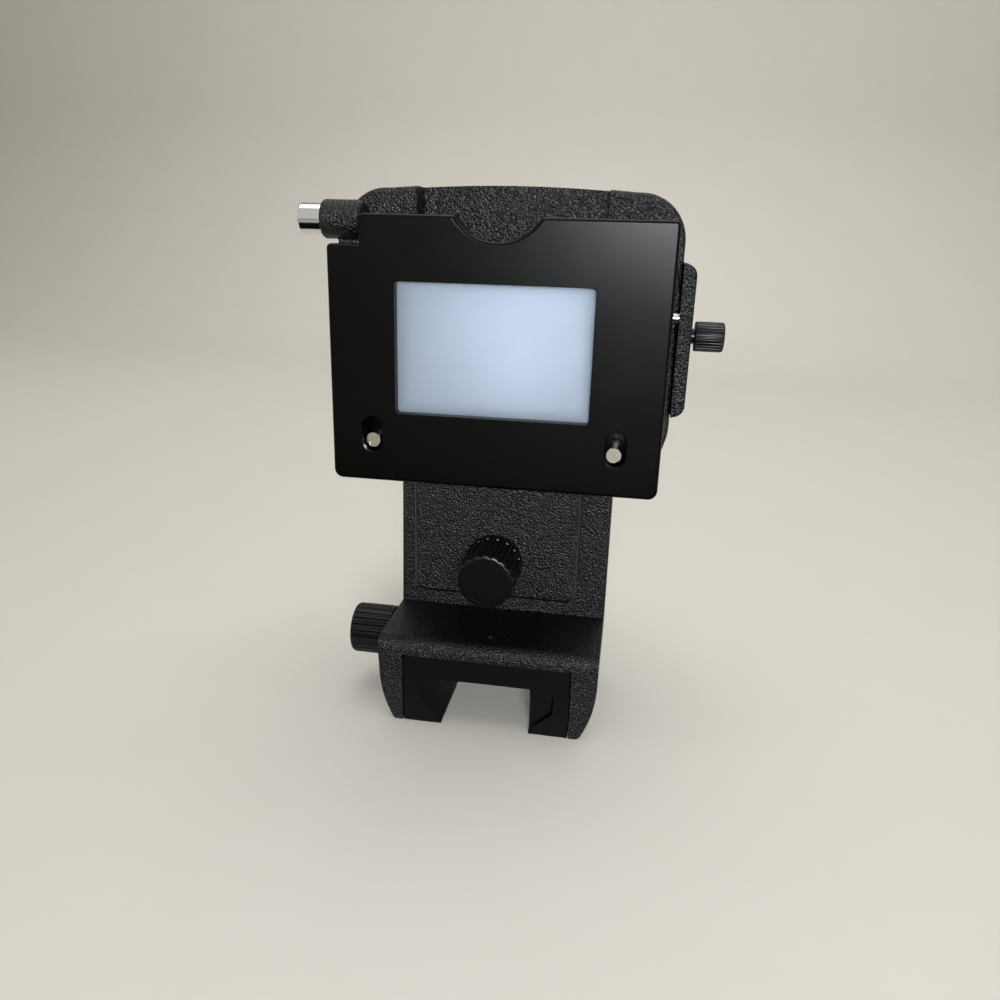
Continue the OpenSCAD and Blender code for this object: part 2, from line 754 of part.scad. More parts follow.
module stage_plate() {
    nut_x = lug_inner;
    color([0.1, 0.1, 0.105]) difference() {
        union() {
            along_y(stage_front, stage_back) stage_outline();
            for (side = [-1, 1]) {
                stage_lug(side);
                knuckle_x = side > 0 ? stage_w / 2 - knuckle_l : -stage_w / 2;
                rod_x(2 * knuckle_r, knuckle_x, knuckle_x + knuckle_l, hinge_y, hinge_z);
                box(knuckle_x, knuckle_x + knuckle_l, hinge_y, stage_front + 0.5,
                    hinge_z - knuckle_r, hinge_z + knuckle_r);
            }
            box(nut_x, nut_x + lug_l, stage_back - 0.5, spindle_y + nut_r, spindle_z - nut_r, pin_z);
            box(-24, 24, plate_back + 0.4, stage_front + 0.5, ledge_z - ledge_t, ledge_z);
            box(-tongue_w / 2, tongue_w / 2, stage_back - 0.5, stage_back + tongue_d,
                tongue_z, tongue_z + tongue_h);
        }
        rod_x(pin_d + 2 * fit, -stage_w, stage_w, pin_y, pin_z);
        rod_x(spindle_d + 2 * fit, 0, stage_w, spindle_y, spindle_z);
        rod_x(hinge_d, -stage_w, stage_w, hinge_y, hinge_z);
        for (x = [-post_x, post_x]) rod_y(post_d, -foot_d, foot_d, x, axis_z - post_drop);
        rod_y(screw_d, -foot_d, foot_d, barrel_screw_x, barrel_screw_z);
    }
}

module guide_posts() {
    color([0.85, 0.85, 0.84])
        for (side = [-1, 1]) translate([side * post_x, 0, axis_z - post_drop]) difference() {
            union() {
                rod_y(post_head_d, plate_front + post_inset, plate_front + post_inset + 1.3, 0, 0);
                rod_y(post_d, plate_front + post_inset + 1.3, stage_back, 0, 0);
            }
            translate([0, plate_front + post_inset, 0]) rotate([0, side > 0 ? -30 : 50, 0])
                cube([0.45, 1.1, 5], center = true);
        }
}

module hinge_pins() {
    inner = stage_w / 2 - knuckle_l;
    color([0.8, 0.8, 0.8]) for (side = [-1, 1]) {
        x0 = side > 0 ? inner : -stage_w / 2 - ear_gap - ear_l;
        rod_x(hinge_d, x0, x0 + knuckle_l + ear_gap + ear_l, hinge_y, hinge_z);
    }
}

barrel_screw_x = -stage_w / 2 + 2.9;
barrel_screw_rise = 16;
barrel_screw_z = axis_z + barrel_screw_rise;
web_front = barrel_y - 1;

// The barrel of the release button, with the web that holds it to the stage
module release_barrel() {
    color([0.07, 0.07, 0.075]) difference() {
        union() {
            translate([barrel_right, barrel_y, barrel_z]) rotate([0, -90, 0]) rotate_extrude() difference() {
                round_profile(barrel_d / 2, barrel_l, 1.2, 0.7);
                translate([0, barrel_floor]) square([button_d / 2 + fit, barrel_l]);
                square([stem_d / 2 + fit, barrel_l]);
            }
            difference() {
                box(barrel_left + 3.2, barrel_right, web_front, stage_front, axis_z + 13, barrel_z);
                rod_x(barrel_d - 1, barrel_left, barrel_right + over, barrel_y, barrel_z);
            }
            box(barrel_right - over, barrel_right + 2.4, web_front, stage_front, axis_z + 13, axis_z + 19);
        }
        rod_y(screw_d, -foot_d, foot_d, barrel_screw_x, barrel_screw_z);
    }
}

module barrel_screw() {
    color([0.3, 0.3, 0.32]) difference() {
        union() {
            rod_y(screw_head_d, web_front - 0.8, web_front, barrel_screw_x, barrel_screw_z);
            rod_y(screw_d, web_front, stage_back, barrel_screw_x, barrel_screw_z);
        }
        translate([barrel_screw_x, web_front - 0.8, barrel_screw_z]) cube([5, 0.7, 0.5], center = true);
    }
}

module release_button() {
    color([0.9, 0.9, 0.9]) {
        translate([button_rim, barrel_y, barrel_z]) rotate([0, -90, 0]) rotate_extrude()
            round_profile(button_d / 2, button_out + button_in, 0, 0.9);
        rod_x(stem_d, button_rim - over, latch_tip_x, barrel_y, barrel_z);
    }
}

module latch_tip() {
    color([0.8, 0.8, 0.8]) translate([latch_tip_x, barrel_y, barrel_z]) rotate([0, 90, 0])
        cylinder(r = latch_tip_r, h = latch_tip_l);
}

// A wire coil round +Z: turns that rise steadily from z0 to z1, as one tube
spring_wire = 0.5;
spring_d = 5.2;
spring_turns = 4.5;
spring_sides = 6;
spring_rings = 8;

function coil_ring(a, z, radius, wire) = [
    for (k = [0:spring_sides - 1])
        let (t = 360 * k / spring_sides, r = radius + wire / 2 * cos(t))
            [r * cos(a), r * sin(a), z + wire / 2 * sin(t)]
];

module coil(d, wire, turns, z0, z1) {
    radius = (d - wire) / 2;
    rings = floor(turns * spring_rings);
    rise = (z1 - z0 - wire) / rings;
    points = [
        for (i = [0:rings]) each coil_ring(360 * i / spring_rings, z0 + wire / 2 + rise * i, radius, wire)
    ];
    sides = [
        for (i = [0:rings - 1], k = [0:spring_sides - 1])
            let (a = i * spring_sides + k, b = i * spring_sides + (k + 1) % spring_sides)
                each [[a, a + spring_sides, b], [b, a + spring_sides, b + spring_sides]]
    ];
    first = [for (k = [1:spring_sides - 2]) [0, k, k + 1]];
    last = rings * spring_sides;
    ends = [for (k = [1:spring_sides - 2]) [last, last + k + 1, last + k]];
    echo(str("least gap between turns: ", rise * spring_rings - wire));
    polyhedron(points = points, faces = concat(sides, first, ends));
}

module button_spring() {
    color([0.7, 0.7, 0.7]) translate([barrel_right, barrel_y, barrel_z]) rotate([0, -90, 0])
        coil(spring_d, spring_wire, spring_turns, barrel_floor + 0.05, barrel_right - button_rim - 0.05);
}

// ---------------------------------------------------------------- front plate

module plate_outline() {
    notch_r = (notch_w * notch_w / 4 + notch_h * notch_h) / (2 * notch_h);
    difference() {
        union() {
            soft_rect(plate_left, plate_right, plate_low, plate_high - step_h, 2, 0.8);
            soft_rect(plate_left + step_w, plate_right, plate_low + 5, plate_high, 0.5, 0.6);
        }
        translate([plate_shift, plate_high + notch_r - notch_h]) circle(r = notch_r, $fn = 96);
        soft_rect(-window_w / 2, window_w / 2, window_low, window_low + window_h, window_r, window_r);
    }
}

module post_slot(x) {
    z = axis_z - post_drop;
    soft_rect(x - slot_w / 2, x + slot_w / 2, z - slot_w / 2, z - slot_w / 2 + slot_h,
        slot_w / 2 - 0.01, slot_w / 2 - 0.01);
}

diffuser_t = 1.2;
diffuser_margin = 1.8;
frame_margin = 4;
diffuser_y = plate_front + window_d;
diffuser_back = diffuser_y + diffuser_t;
frame_screw_d = 1;
frame_screw_head_d = 1.8;
frame_screw_head_t = 0.25;
frame_screw_wall = 0.5;
frame_screw_x = window_w / 2 + diffuser_margin + frame_screw_wall + frame_screw_d / 2;
frame_screw_zs = [axis_z - 9, axis_z + 9];

module window_block(margin, y0, y1) {
    along_y(y0, y1)
        soft_rect(-window_w / 2 - margin, window_w / 2 + margin, window_low - margin,
            window_low + window_h + margin, 1, 1);
}

ear_root = 0.5;

module plate_ear(side) {
    x0 = side > 0 ? stage_w / 2 + ear_gap : -stage_w / 2 - ear_gap - ear_l;
    rod_x(2 * knuckle_r, x0, x0 + ear_l, hinge_y, hinge_z);
    box(x0, x0 + ear_l, plate_back - ear_root, hinge_y, hinge_z - knuckle_r, hinge_z + knuckle_r);
    // The root in the plate's back reaches from below the window to the ear's outer end
    box(side > 0 ? window_w / 2 : x0, side > 0 ? x0 + ear_l : -window_w / 2,
        plate_back - ear_root, plate_back, hinge_z - knuckle_r, hinge_z + knuckle_r);
}

// The lug behind the plate's upper left corner, which the latch tip holds
module latch_lug() {
    difference() {
        box(latch_lug_x, latch_lug_x + latch_lug_l, plate_back - 0.5, barrel_y + 1.1,
            barrel_z - 2.2, plate_high);
        box(latch_lug_x - over, latch_lug_x + latch_lug_l + over, barrel_y - 1, barrel_y + 2,
            barrel_z - 1.15, plate_high + over);
    }
}

module front_plate() {
    color([0.08, 0.08, 0.085]) difference() {
        union() {
            along_y(plate_front, plate_back) plate_outline();
            plate_ear(-1);
            plate_ear(1);
            latch_lug();
        }
        window_block(diffuser_margin + 0.1, diffuser_y, diffuser_back);
        window_block(frame_margin + 0.1, diffuser_back, plate_back + over);
        along_y(plate_front - over, plate_back + over) {
            post_slot(slot_shift - post_x);
            post_slot(slot_shift + post_x);
        }
        for (x = [-frame_screw_x, frame_screw_x], z = frame_screw_zs)
            rod_y(frame_screw_d, diffuser_y + 0.2, plate_back, x, z);
        rod_x(hinge_d + 2 * fit, -foot_w, foot_w, hinge_y, hinge_z);
    }
}

module opal_diffuser() {
    color([0.9, 0.93, 0.97]) window_block(diffuser_margin, diffuser_y, diffuser_back);
}

module diffuser_frame() {
    color([0.15, 0.15, 0.155]) difference() {
        window_block(frame_margin, diffuser_back, plate_back);
        window_block(0.2, diffuser_back - over, plate_back + over);
        for (x = [-frame_screw_x, frame_screw_x], z = frame_screw_zs)
            rod_y(frame_screw_d, -foot_d, foot_d, x, z);
    }
}

module frame_screws() {
    color([0.6, 0.6, 0.62]) for (x = [-frame_screw_x, frame_screw_x], z = frame_screw_zs) {
        rod_y(frame_screw_d, diffuser_y + 0.2, plate_back, x, z);
        rod_y(frame_screw_head_d, plate_back, plate_back + frame_screw_head_t, x, z);
    }
}

// Two bowed springs behind the plate that press a slide back against the stage
spring_strip_w = 2.2;
spring_strip_t = 0.2;
spring_bow = 0.8;
spring_half = 7.4;

module leaf_spring(x) {
    bow_r = (spring_half * spring_half + spring_bow * spring_bow) / (2 * spring_bow);
    y_mid = plate_back + spring_bow - bow_r;
    translate([x - spring_strip_w / 2, 0, axis_z]) rotate([90, 0, 90]) linear_extrude(spring_strip_w)
        intersection() {
            difference() {
                translate([y_mid, 0]) circle(r = bow_r + spring_strip_t, $fn = 240);
                translate([y_mid, 0]) circle(r = bow_r, $fn = 240);
            }
            translate([plate_back, -spring_half - 0.5]) square([spring_bow + 1, 2 * spring_half + 1]);
        }
}

module leaf_springs() {
    color([0.75, 0.75, 0.76]) {
        leaf_spring(-frame_screw_x);
        leaf_spring(frame_screw_x);
    }
}

// ---------------------------------------------------------------- bellows

module frame_plate(w, h, y0, y1) {
    along_y(y0, y1) soft_rect(-w / 2, w / 2, axis_z - h / 2, axis_z + h / 2, 2.5, 2.5);
}

fold_window_w = bellows_w - 2 * fold_d;
fold_window_h = bellows_h - 2 * fold_d;

module bellows_front_frame() {
    color([0.1, 0.1, 0.105]) difference() {
        frame_plate(front_frame_w, front_frame_h, head_back, front_frame_back);
        box(-fold_window_w / 2 + 1, fold_window_w / 2 - 1, head_back - over, front_frame_back + over,
            axis_z - fold_window_h / 2 + 1, axis_z + fold_window_h / 2 - 1);
        for (x = front_frame_xs, z = front_frame_zs) rod_y(screw_d, 0, foot_d, x, z);
    }
}

module front_frame_screws() {
    color([0.3, 0.3, 0.32]) for (x = front_frame_xs, z = front_frame_zs)
        translate([0, front_frame_back + screw_head_t, 0]) mirror([0, 1, 0])
            slotted_screw(x, 0, z, frame_t + screw_hole - screw_short, 40);
}

// One ring of the bellows: eight points of a rectangle with cut corners, at depth y
function fold_ring(y, inset, wall) =
    let (a = bellows_w / 2 - inset - wall, b = bellows_h / 2 - inset - wall, c = 4)
        [for (p = [[a, -b + c], [a, b - c], [a - c, b], [-a + c, b], [-a, b - c], [-a, -b + c],
            [-a + c, -b], [a - c, -b]]) [p[0], y, axis_z + p[1]]];

module bellows() {
    steps = 2 * folds;
    gap = 0.02;
    pitch = (bellows_l - 2 * gap) / steps;
    outer = [for (i = [0:steps]) each fold_ring(front_frame_back + gap + pitch * i, i % 2 == 0 ? fold_d - 1 : 0, 0)];
    inner = [for (i = [0:steps]) each fold_ring(front_frame_back + gap + pitch * i, i % 2 == 0 ? fold_d - 1 : 0, skin_t)];
    count = 8 * (steps + 1);
    walls = [for (i = [0:steps - 1], k = [0:7])
        let (a = 8 * i + k, b = 8 * i + (k + 1) % 8)
            each [[a, b, a + 8], [b, b + 8, a + 8],
                [count + a, count + a + 8, count + b], [count + b, count + a + 8, count + b + 8]]];
    rims = [for (k = [0:7])
        let (a = k, b = (k + 1) % 8, last = 8 * steps)
            each [[a, count + a, b], [b, count + a, count + b],
                [last + a, last + b, count + last + a], [last + b, count + last + b, count + last + a]]];
    color([0.06, 0.06, 0.06]) polyhedron(points = concat(outer, inner), faces = concat(walls, rims));
}

module bellows_rear_frame() {
    color([0.1, 0.1, 0.105]) difference() {
        frame_plate(rear_frame_w, rear_frame_h, rear_frame_front, ring_front);
        rod_y(ring_bore - 2 * rear_lip, 0, 4 * foot_d, 0, axis_z);
        for (x = rear_frame_xs, z = rear_frame_zs) rod_y(screw_d, 0, 4 * foot_d, x, z);
    }
}

module rear_frame_screws() {
    color([0.3, 0.3, 0.32]) for (x = rear_frame_xs, z = rear_frame_zs)
        translate([0, ring_front + screw_head_t, 0]) mirror([0, 1, 0])
            slotted_screw(x, 0, z, rear_frame_t, 20);
}

ring_screw_y = ring_front + ring_l - 3.5;
ring_screw_d = 2.4;
ring_screw_turns = [60, 180, 300];

module lens_ring() {
    color([0.09, 0.09, 0.095]) difference() {
        rod_y(ring_d, ring_front, ring_front + ring_l, 0, axis_z);
        rod_y(ring_bore, ring_front - over, ring_front + ring_l + over, 0, axis_z);
        for (x = rear_frame_xs, z = rear_frame_zs)
            rod_y(screw_head_d + 0.4, ring_front - over, ring_front + screw_head_t + 0.2, x, z);
        for (turn = ring_screw_turns) ring_rod(turn, ring_screw_d, 0, ring_d);
    }
}

// A round hole or pin through the lens ring's wall, turned round the lens axis
module ring_rod(turn, d, r0, r1) {
    translate([0, ring_screw_y, axis_z]) rotate([0, turn, 0]) translate([0, 0, r0]) cylinder(d = d, h = r1 - r0);
}

module ring_screws() {
    r1 = ring_d / 2 - 0.5;
    color([0.3, 0.3, 0.32]) for (turn = ring_screw_turns) difference() {
        ring_rod(turn, ring_screw_d, ring_bore / 2 + 0.3, r1);
        translate([0, ring_screw_y, axis_z]) rotate([0, turn, 0]) translate([0, 0, r1])
            cube([ring_screw_d + over, 0.5, 0.8], center = true);
    }
}

base_bracket();
rail_shoe();
shoe_screws();
shoe_pin();
clamp_bush();
clamp_knob();
clamp_screw();
clamp_jaw();
head_bracket();
lock_stud();
clamp_plate();
lock_washer();
lift_knob();
lift_knob_cap();
guide_pins();
side_cover();
cover_screws();
shift_knob();
shift_spindle();
stage_plate();
guide_posts();
hinge_pins();
release_barrel();
barrel_screw();
release_button();
latch_tip();
button_spring();
front_plate();
opal_diffuser();
diffuser_frame();
frame_screws();
leaf_springs();
bellows_front_frame();
front_frame_screws();
bellows();
bellows_rear_frame();
rear_frame_screws();
lens_ring();
ring_screws();
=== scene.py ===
# %% [markdown]
# # A slide duplicator
# The object is a small stand of black castings. It holds a slide between a
# stage and a hinged plate with an opal window, in front of a bellows. This
# lesson dresses the exact parts, which come in as a fixed frame, with softened
# edges, real knurls, folded cloth and painted finishes. Units are metres.

# %% Load the frame
import json
import math

import bmesh
import bpy
from mathutils import Matrix, Vector


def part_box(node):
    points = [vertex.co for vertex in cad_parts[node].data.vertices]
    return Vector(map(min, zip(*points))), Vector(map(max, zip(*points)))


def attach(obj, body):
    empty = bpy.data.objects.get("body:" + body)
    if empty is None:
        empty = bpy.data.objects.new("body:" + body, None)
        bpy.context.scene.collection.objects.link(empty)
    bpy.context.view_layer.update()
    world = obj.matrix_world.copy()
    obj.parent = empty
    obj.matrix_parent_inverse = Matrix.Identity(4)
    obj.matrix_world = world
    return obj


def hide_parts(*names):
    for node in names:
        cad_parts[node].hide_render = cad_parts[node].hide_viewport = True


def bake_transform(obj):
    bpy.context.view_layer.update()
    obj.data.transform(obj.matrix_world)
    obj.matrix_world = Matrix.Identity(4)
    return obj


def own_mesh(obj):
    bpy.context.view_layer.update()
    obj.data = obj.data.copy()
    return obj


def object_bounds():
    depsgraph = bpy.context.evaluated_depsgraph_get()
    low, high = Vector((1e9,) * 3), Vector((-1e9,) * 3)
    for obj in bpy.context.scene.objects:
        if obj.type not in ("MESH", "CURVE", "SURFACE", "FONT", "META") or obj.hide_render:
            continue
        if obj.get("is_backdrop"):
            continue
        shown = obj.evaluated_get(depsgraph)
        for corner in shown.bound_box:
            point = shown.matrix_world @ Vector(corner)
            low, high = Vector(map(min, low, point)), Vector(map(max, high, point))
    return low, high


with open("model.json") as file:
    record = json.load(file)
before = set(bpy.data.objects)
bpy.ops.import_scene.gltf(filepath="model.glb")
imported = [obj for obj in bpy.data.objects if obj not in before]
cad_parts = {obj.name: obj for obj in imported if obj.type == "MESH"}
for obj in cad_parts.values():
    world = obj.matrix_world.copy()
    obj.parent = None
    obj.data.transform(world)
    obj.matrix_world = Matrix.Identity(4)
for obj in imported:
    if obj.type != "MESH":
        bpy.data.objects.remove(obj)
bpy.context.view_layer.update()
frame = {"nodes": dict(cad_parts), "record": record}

MM = 0.001
NEAR = 0.01  # Millimetres: a point this close to a plane lies on it

# %% [markdown]
# ## The camera
# The photograph was taken from close by and a little above. Working from the
# edges of the plate and the foot gives the place, the turn and the lens below.
# It comes first, so that each later step can be looked at.

# %% Camera
CAMERA_AT = (29.15, -187.72, 115.33)  # Millimetres
SENSOR, LENS = 36, 29.17
YAW, PITCH, ROLL = (math.radians(a) for a in (8.97, 18.04, 1.62))
forward = Vector((-math.sin(YAW) * math.cos(PITCH), math.cos(YAW) * math.cos(PITCH),
                  -math.sin(PITCH)))
level_right = Vector((math.cos(YAW), math.sin(YAW), 0))
level_up = level_right.cross(forward)
right = level_right * math.cos(ROLL) + level_up * math.sin(ROLL)
up = level_up * math.cos(ROLL) - level_right * math.sin(ROLL)

camera_data = bpy.data.cameras.new("camera")
camera_data.sensor_width = SENSOR
camera_data.lens = LENS
camera_data.clip_start = 0.01
camera = bpy.data.objects.new("camera", camera_data)
bpy.context.scene.collection.objects.link(camera)
turn = Matrix((right, up, -forward)).transposed().to_4x4()
camera.matrix_world = Matrix.Translation(Vector(CAMERA_AT) * MM) @ turn
bpy.context.scene.camera = camera
print("camera at", [round(v / MM) for v in camera.matrix_world.translation], "mm")

# %% [markdown]
# ## Colours and nodes
# Colours are noted as hex values, the way a paint chart gives them. Shaders
# work in linear light, so one function turns a hex value into what they want.
# Another adds a shader node with its settings and its inputs, which may be
# plain values or sockets of other nodes.


# %% Helpers for materials
def linear(code):
    """Linear RGBA of an sRGB hex colour such as 1a1a1c."""
    parts = [int(code[i:i + 2], 16) / 255 for i in (0, 2, 4)]
    return [c / 12.92 if c <= 0.04045 else ((c + 0.055) / 1.055) ** 2.4 for c in parts] + [1]


def add(tree, kind, settings=None, inputs=None):
    """Adds a node to a shader tree, with its settings and its inputs."""
    made = tree.nodes.new(kind)
    for name, value in (settings or {}).items():
        setattr(made, name, value)
    for name, value in (inputs or {}).items():
        if isinstance(value, bpy.types.NodeSocket):
            tree.links.new(value, made.inputs[name])
        else:
            made.inputs[name].default_value = value
    return made


def new_finish(name):
    """A material with an empty shader tree, and that tree."""
    material = bpy.data.materials.new(name)
    material.use_nodes = True
    material.node_tree.nodes.clear()
    return material, material.node_tree


def close_finish(tree, shader):
    """Links a shader to the material's output."""
    add(tree, "ShaderNodeOutputMaterial", None, {"Surface": shader.outputs["BSDF"]})


# %% [markdown]
# ## Wrinkle enamel
# The castings are coated with black wrinkle enamel. It is sprayed thick, and
# its skin shrinks in the oven to hard grains about half a millimetre across.
# The grains catch the light as fine grey specks on a nearly black ground. A cell pattern with some
# noise gives the grains as bump, and the same noise paints their tops a little lighter: a painted
# highlight that stands in for the glints on the grains.


# %% Wrinkle enamel
def make_wrinkle_enamel():
    """Black enamel with shrunken grains."""
    material, tree = new_finish("wrinkle_enamel_black")
    place = add(tree, "ShaderNodeTexCoord").outputs["Object"]
    # The grains lie 0.45 mm apart, and the noise that breaks them up wanders over 0.55 mm
    grains = add(tree, "ShaderNodeTexVoronoi", {"feature": "SMOOTH_F1"},
                 {"Vector": place, "Scale": 1 / (0.45 * MM), "Smoothness": 0.35})
    noise = add(tree, "ShaderNodeTexNoise", None,
                {"Vector": place, "Scale": 1 / (0.55 * MM), "Detail": 2, "Roughness": 0.6})
    height = add(tree, "ShaderNodeMath", {"operation": "SUBTRACT"},
                 {0: noise.outputs["Fac"], 1: grains.outputs["Distance"]})
    # Painted highlight: this ramp lightens the grain tops, as their glints would
    painted_glint_ramp = add(tree, "ShaderNodeValToRGB", None, {"Fac": noise.outputs["Fac"]})
    painted_glint_ramp.color_ramp.elements[0].position = 0.52
    painted_glint_ramp.color_ramp.elements[0].color = linear("020203")
    painted_glint_ramp.color_ramp.elements[1].position = 0.75
    painted_glint_ramp.color_ramp.elements[1].color = linear("191b1e")
    bump = add(tree, "ShaderNodeBump", None,
               {"Height": height.outputs[0], "Strength": 1.0, "Distance": 0.22 * MM})
    shader = add(tree, "ShaderNodeBsdfPrincipled", None,
                 {"Base Color": painted_glint_ramp.outputs["Color"], "Roughness": 0.36, "Specular IOR Level": 0.3,
                  "Normal": bump.outputs["Normal"]})
    close_finish(tree, shader)
    return material


wrinkle_enamel = make_wrinkle_enamel()
print("made", wrinkle_enamel.name)

# %% [markdown]
# ## Satin lacquer
# The plate, the stage, the rail shoe, its jaw and the bellows frames have a
# smooth satin black lacquer. It hides the metal's grain and shows a soft, wide
# sheen where a lamp stands in the mirror direction. A trace of dust lies on
# it: one pale speck, a fifth of a millimetre wide, in some of the cells of a
# 6 mm pattern.


# %% Satin lacquer
SPECK_REACH = 0.018  # A speck's radius, as a share of its cell
HAZE = 0.04  # How far the lacquer's roughness wanders


def make_satin_lacquer(name, base, roughness, shine, dust):
    """Satin lacquer in one colour, with dust in that share of the cells."""
    material, tree = new_finish(name)
    place = add(tree, "ShaderNodeTexCoord").outputs["Object"]
    # Orange peel: swellings 1.2 mm apart and a few thousandths of a millimetre high
    peel = add(tree, "ShaderNodeTexNoise", None,
               {"Vector": place, "Scale": 1 / (1.2 * MM), "Detail": 2})
    bump = add(tree, "ShaderNodeBump", None,
               {"Height": peel.outputs["Fac"], "Strength": 0.5, "Distance": 0.006 * MM})
    specks = add(tree, "ShaderNodeTexVoronoi", {"feature": "F1"},
                 {"Vector": place, "Scale": 1 / (6 * MM), "Randomness": 1})
    near = add(tree, "ShaderNodeMath", {"operation": "LESS_THAN"},
               {0: specks.outputs["Distance"], 1: SPECK_REACH})
    some = add(tree, "ShaderNodeSeparateColor", None, {"Color": specks.outputs["Color"]})
    chosen = add(tree, "ShaderNodeMath", {"operation": "LESS_THAN"},
                 {0: some.outputs["Red"], 1: dust})
    speck = add(tree, "ShaderNodeMath", {"operation": "MULTIPLY"},
                {0: near.outputs[0], 1: chosen.outputs[0]})
    colour = add(tree, "ShaderNodeMix", {"data_type": "RGBA"},
                 {"Factor": speck.outputs[0], 6: linear(base), 7: linear("77787a")})
    haze = add(tree, "ShaderNodeTexNoise", None,
               {"Vector": place, "Scale": 1 / (14 * MM), "Detail": 4, "Roughness": 0.6})
    rough = add(tree, "ShaderNodeMapRange", None,
                {"Value": haze.outputs["Fac"],
                 "To Min": roughness - HAZE, "To Max": roughness + HAZE})
    shader = add(tree, "ShaderNodeBsdfPrincipled", None,
                 {"Base Color": colour.outputs[2], "Roughness": rough.outputs[0],
                  "Specular IOR Level": shine, "Normal": bump.outputs["Normal"]})
    close_finish(tree, shader)
    return material


satin_lacquer = make_satin_lacquer("satin_lacquer_black", "020202", 0.26, 0.12, 0.3)
shoe_lacquer = make_satin_lacquer("satin_lacquer_shoe", "050505", 0.5, 0.12, 0.05)
print("made", satin_lacquer.name, "and", shoe_lacquer.name)

# %% [markdown]
# ## Metals and other finishes
# The knobs are turned aluminium, anodised black: a hard, clean, slightly blue
# black with crisp highlights. Screws are blackened or plain steel, the posts,
# pins and the release button bright nickel and chrome, and the clamp's bush
# brass. Turned metal shows rings of tool marks round its axis, but these parts
# are so small that a finely varied roughness is all that reaches the eye.


# %% Metals
def make_metal(name, base, roughness, spread, metallic=1.0, shine=0.5):
    """A metal whose roughness wanders over 0.4 mm, as fine tool marks and handling leave it."""
    material, tree = new_finish(name)
    place = add(tree, "ShaderNodeTexCoord").outputs["Object"]
    marks = add(tree, "ShaderNodeTexNoise", None,
                {"Vector": place, "Scale": 1 / (0.4 * MM), "Detail": 3, "Roughness": 0.55})
    rough = add(tree, "ShaderNodeMapRange", None,
                {"Value": marks.outputs["Fac"],
                 "To Min": roughness - spread, "To Max": roughness + spread})
    bump = add(tree, "ShaderNodeBump", None,
               {"Height": marks.outputs["Fac"], "Strength": 0.4, "Distance": 0.004 * MM})
    shader = add(tree, "ShaderNodeBsdfPrincipled", None,
                 {"Base Color": linear(base), "Metallic": metallic, "Roughness": rough.outputs[0],
                  "Specular IOR Level": shine, "Normal": bump.outputs["Normal"]})
    close_finish(tree, shader)
    return material


anodised = make_metal("anodised_aluminium_black", "060608", 0.3, 0.05, metallic=0.0, shine=0.25)
nickel = make_metal("bright_nickel", "cfc9bf", 0.2, 0.05)
chrome = make_metal("chrome_plate", "d9dbdc", 0.14, 0.03)
steel = make_metal("turned_steel", "a9a9a8", 0.32, 0.06)
spring_steel = make_metal("spring_steel", "8d9094", 0.26, 0.05)
blackened = make_metal("blackened_steel", "1b1b1d", 0.4, 0.08)
brass = make_metal("brass", "b08d4c", 0.3, 0.06)
print("made", [m.name for m in (anodised, nickel, chrome, steel, spring_steel, blackened, brass)])

# %% [markdown]
# ## Opal acrylic
# The window is a sheet of opal acrylic, 1.2 mm thick. Light goes in, scatters
# on fine white pigment and comes out on both sides, so the sheet glows softly
# when there is light behind it. Half of the light scatters, with a path of one
# and a half millimetres, and half goes through as in frosted glass.


# %% Opal acrylic
def make_opal():
    """Milky acrylic with a frosted skin."""
    material, tree = new_finish("opal_acrylic")
    place = add(tree, "ShaderNodeTexCoord").outputs["Object"]
    cloud = add(tree, "ShaderNodeTexNoise", None,
                {"Vector": place, "Scale": 1 / (9 * MM), "Detail": 3})
    colour = add(tree, "ShaderNodeMix", {"data_type": "RGBA"},
                 {"Factor": cloud.outputs["Fac"], 6: linear("a1abb8"), 7: linear("a9b2be")})
    frost = add(tree, "ShaderNodeTexNoise", None,
                {"Vector": place, "Scale": 1 / (0.3 * MM), "Detail": 2})
    bump = add(tree, "ShaderNodeBump", None,
               {"Height": frost.outputs["Fac"], "Strength": 0.3, "Distance": 0.01 * MM})
    shader = add(tree, "ShaderNodeBsdfPrincipled", None,
                 {"Base Color": colour.outputs[2], "Roughness": 0.85, "IOR": 1.49,
                  "Transmission Weight": 0.5,
                  "Subsurface Weight": 1.0, "Subsurface Radius": (1.0, 1.0, 1.0),
                  "Subsurface Scale": 0.0015, "Normal": bump.outputs["Normal"]})
    close_finish(tree, shader)
    return material


opal = make_opal()
print("made", opal.name)

# %% [markdown]
# ## Bellows cloth
# The bellows are folded from cloth with a black rubber coat. The coat is matt,
# and the threads under it show as a weave of 0.4 mm.


# %% Bellows cloth
WEAVE_SCALE = 0.314 / (0.4 * MM)  # A wave texture repeats after 0.314 / scale


def make_bellows_cloth():
    """Black coated cloth with its weave showing."""
    material, tree = new_finish("coated_bellows_cloth")
    place = add(tree, "ShaderNodeTexCoord").outputs["Object"]
    across = add(tree, "ShaderNodeTexWave", {"bands_direction": "X"},
                 {"Vector": place, "Scale": WEAVE_SCALE, "Distortion": 0.6})
    along = add(tree, "ShaderNodeTexWave", {"bands_direction": "Z"},
                {"Vector": place, "Scale": WEAVE_SCALE, "Distortion": 0.6})
    weave = add(tree, "ShaderNodeMath", {"operation": "MAXIMUM"},
                {0: across.outputs["Fac"], 1: along.outputs["Fac"]})
    bump = add(tree, "ShaderNodeBump", None,
               {"Height": weave.outputs[0], "Strength": 0.6, "Distance": 0.04 * MM})
    wear = add(tree, "ShaderNodeTexNoise", None,
               {"Vector": place, "Scale": 1 / (7 * MM), "Detail": 4})
    colour = add(tree, "ShaderNodeMix", {"data_type": "RGBA"},
                 {"Factor": wear.outputs["Fac"], 6: linear("0c0c0d"), 7: linear("1a1a1b")})
    shader = add(tree, "ShaderNodeBsdfPrincipled", None,
                 {"Base Color": colour.outputs[2], "Roughness": 0.62, "Sheen Weight": 0.25,
                  "Sheen Roughness": 0.5, "Normal": bump.outputs["Normal"]})
    close_finish(tree, shader)
    return material


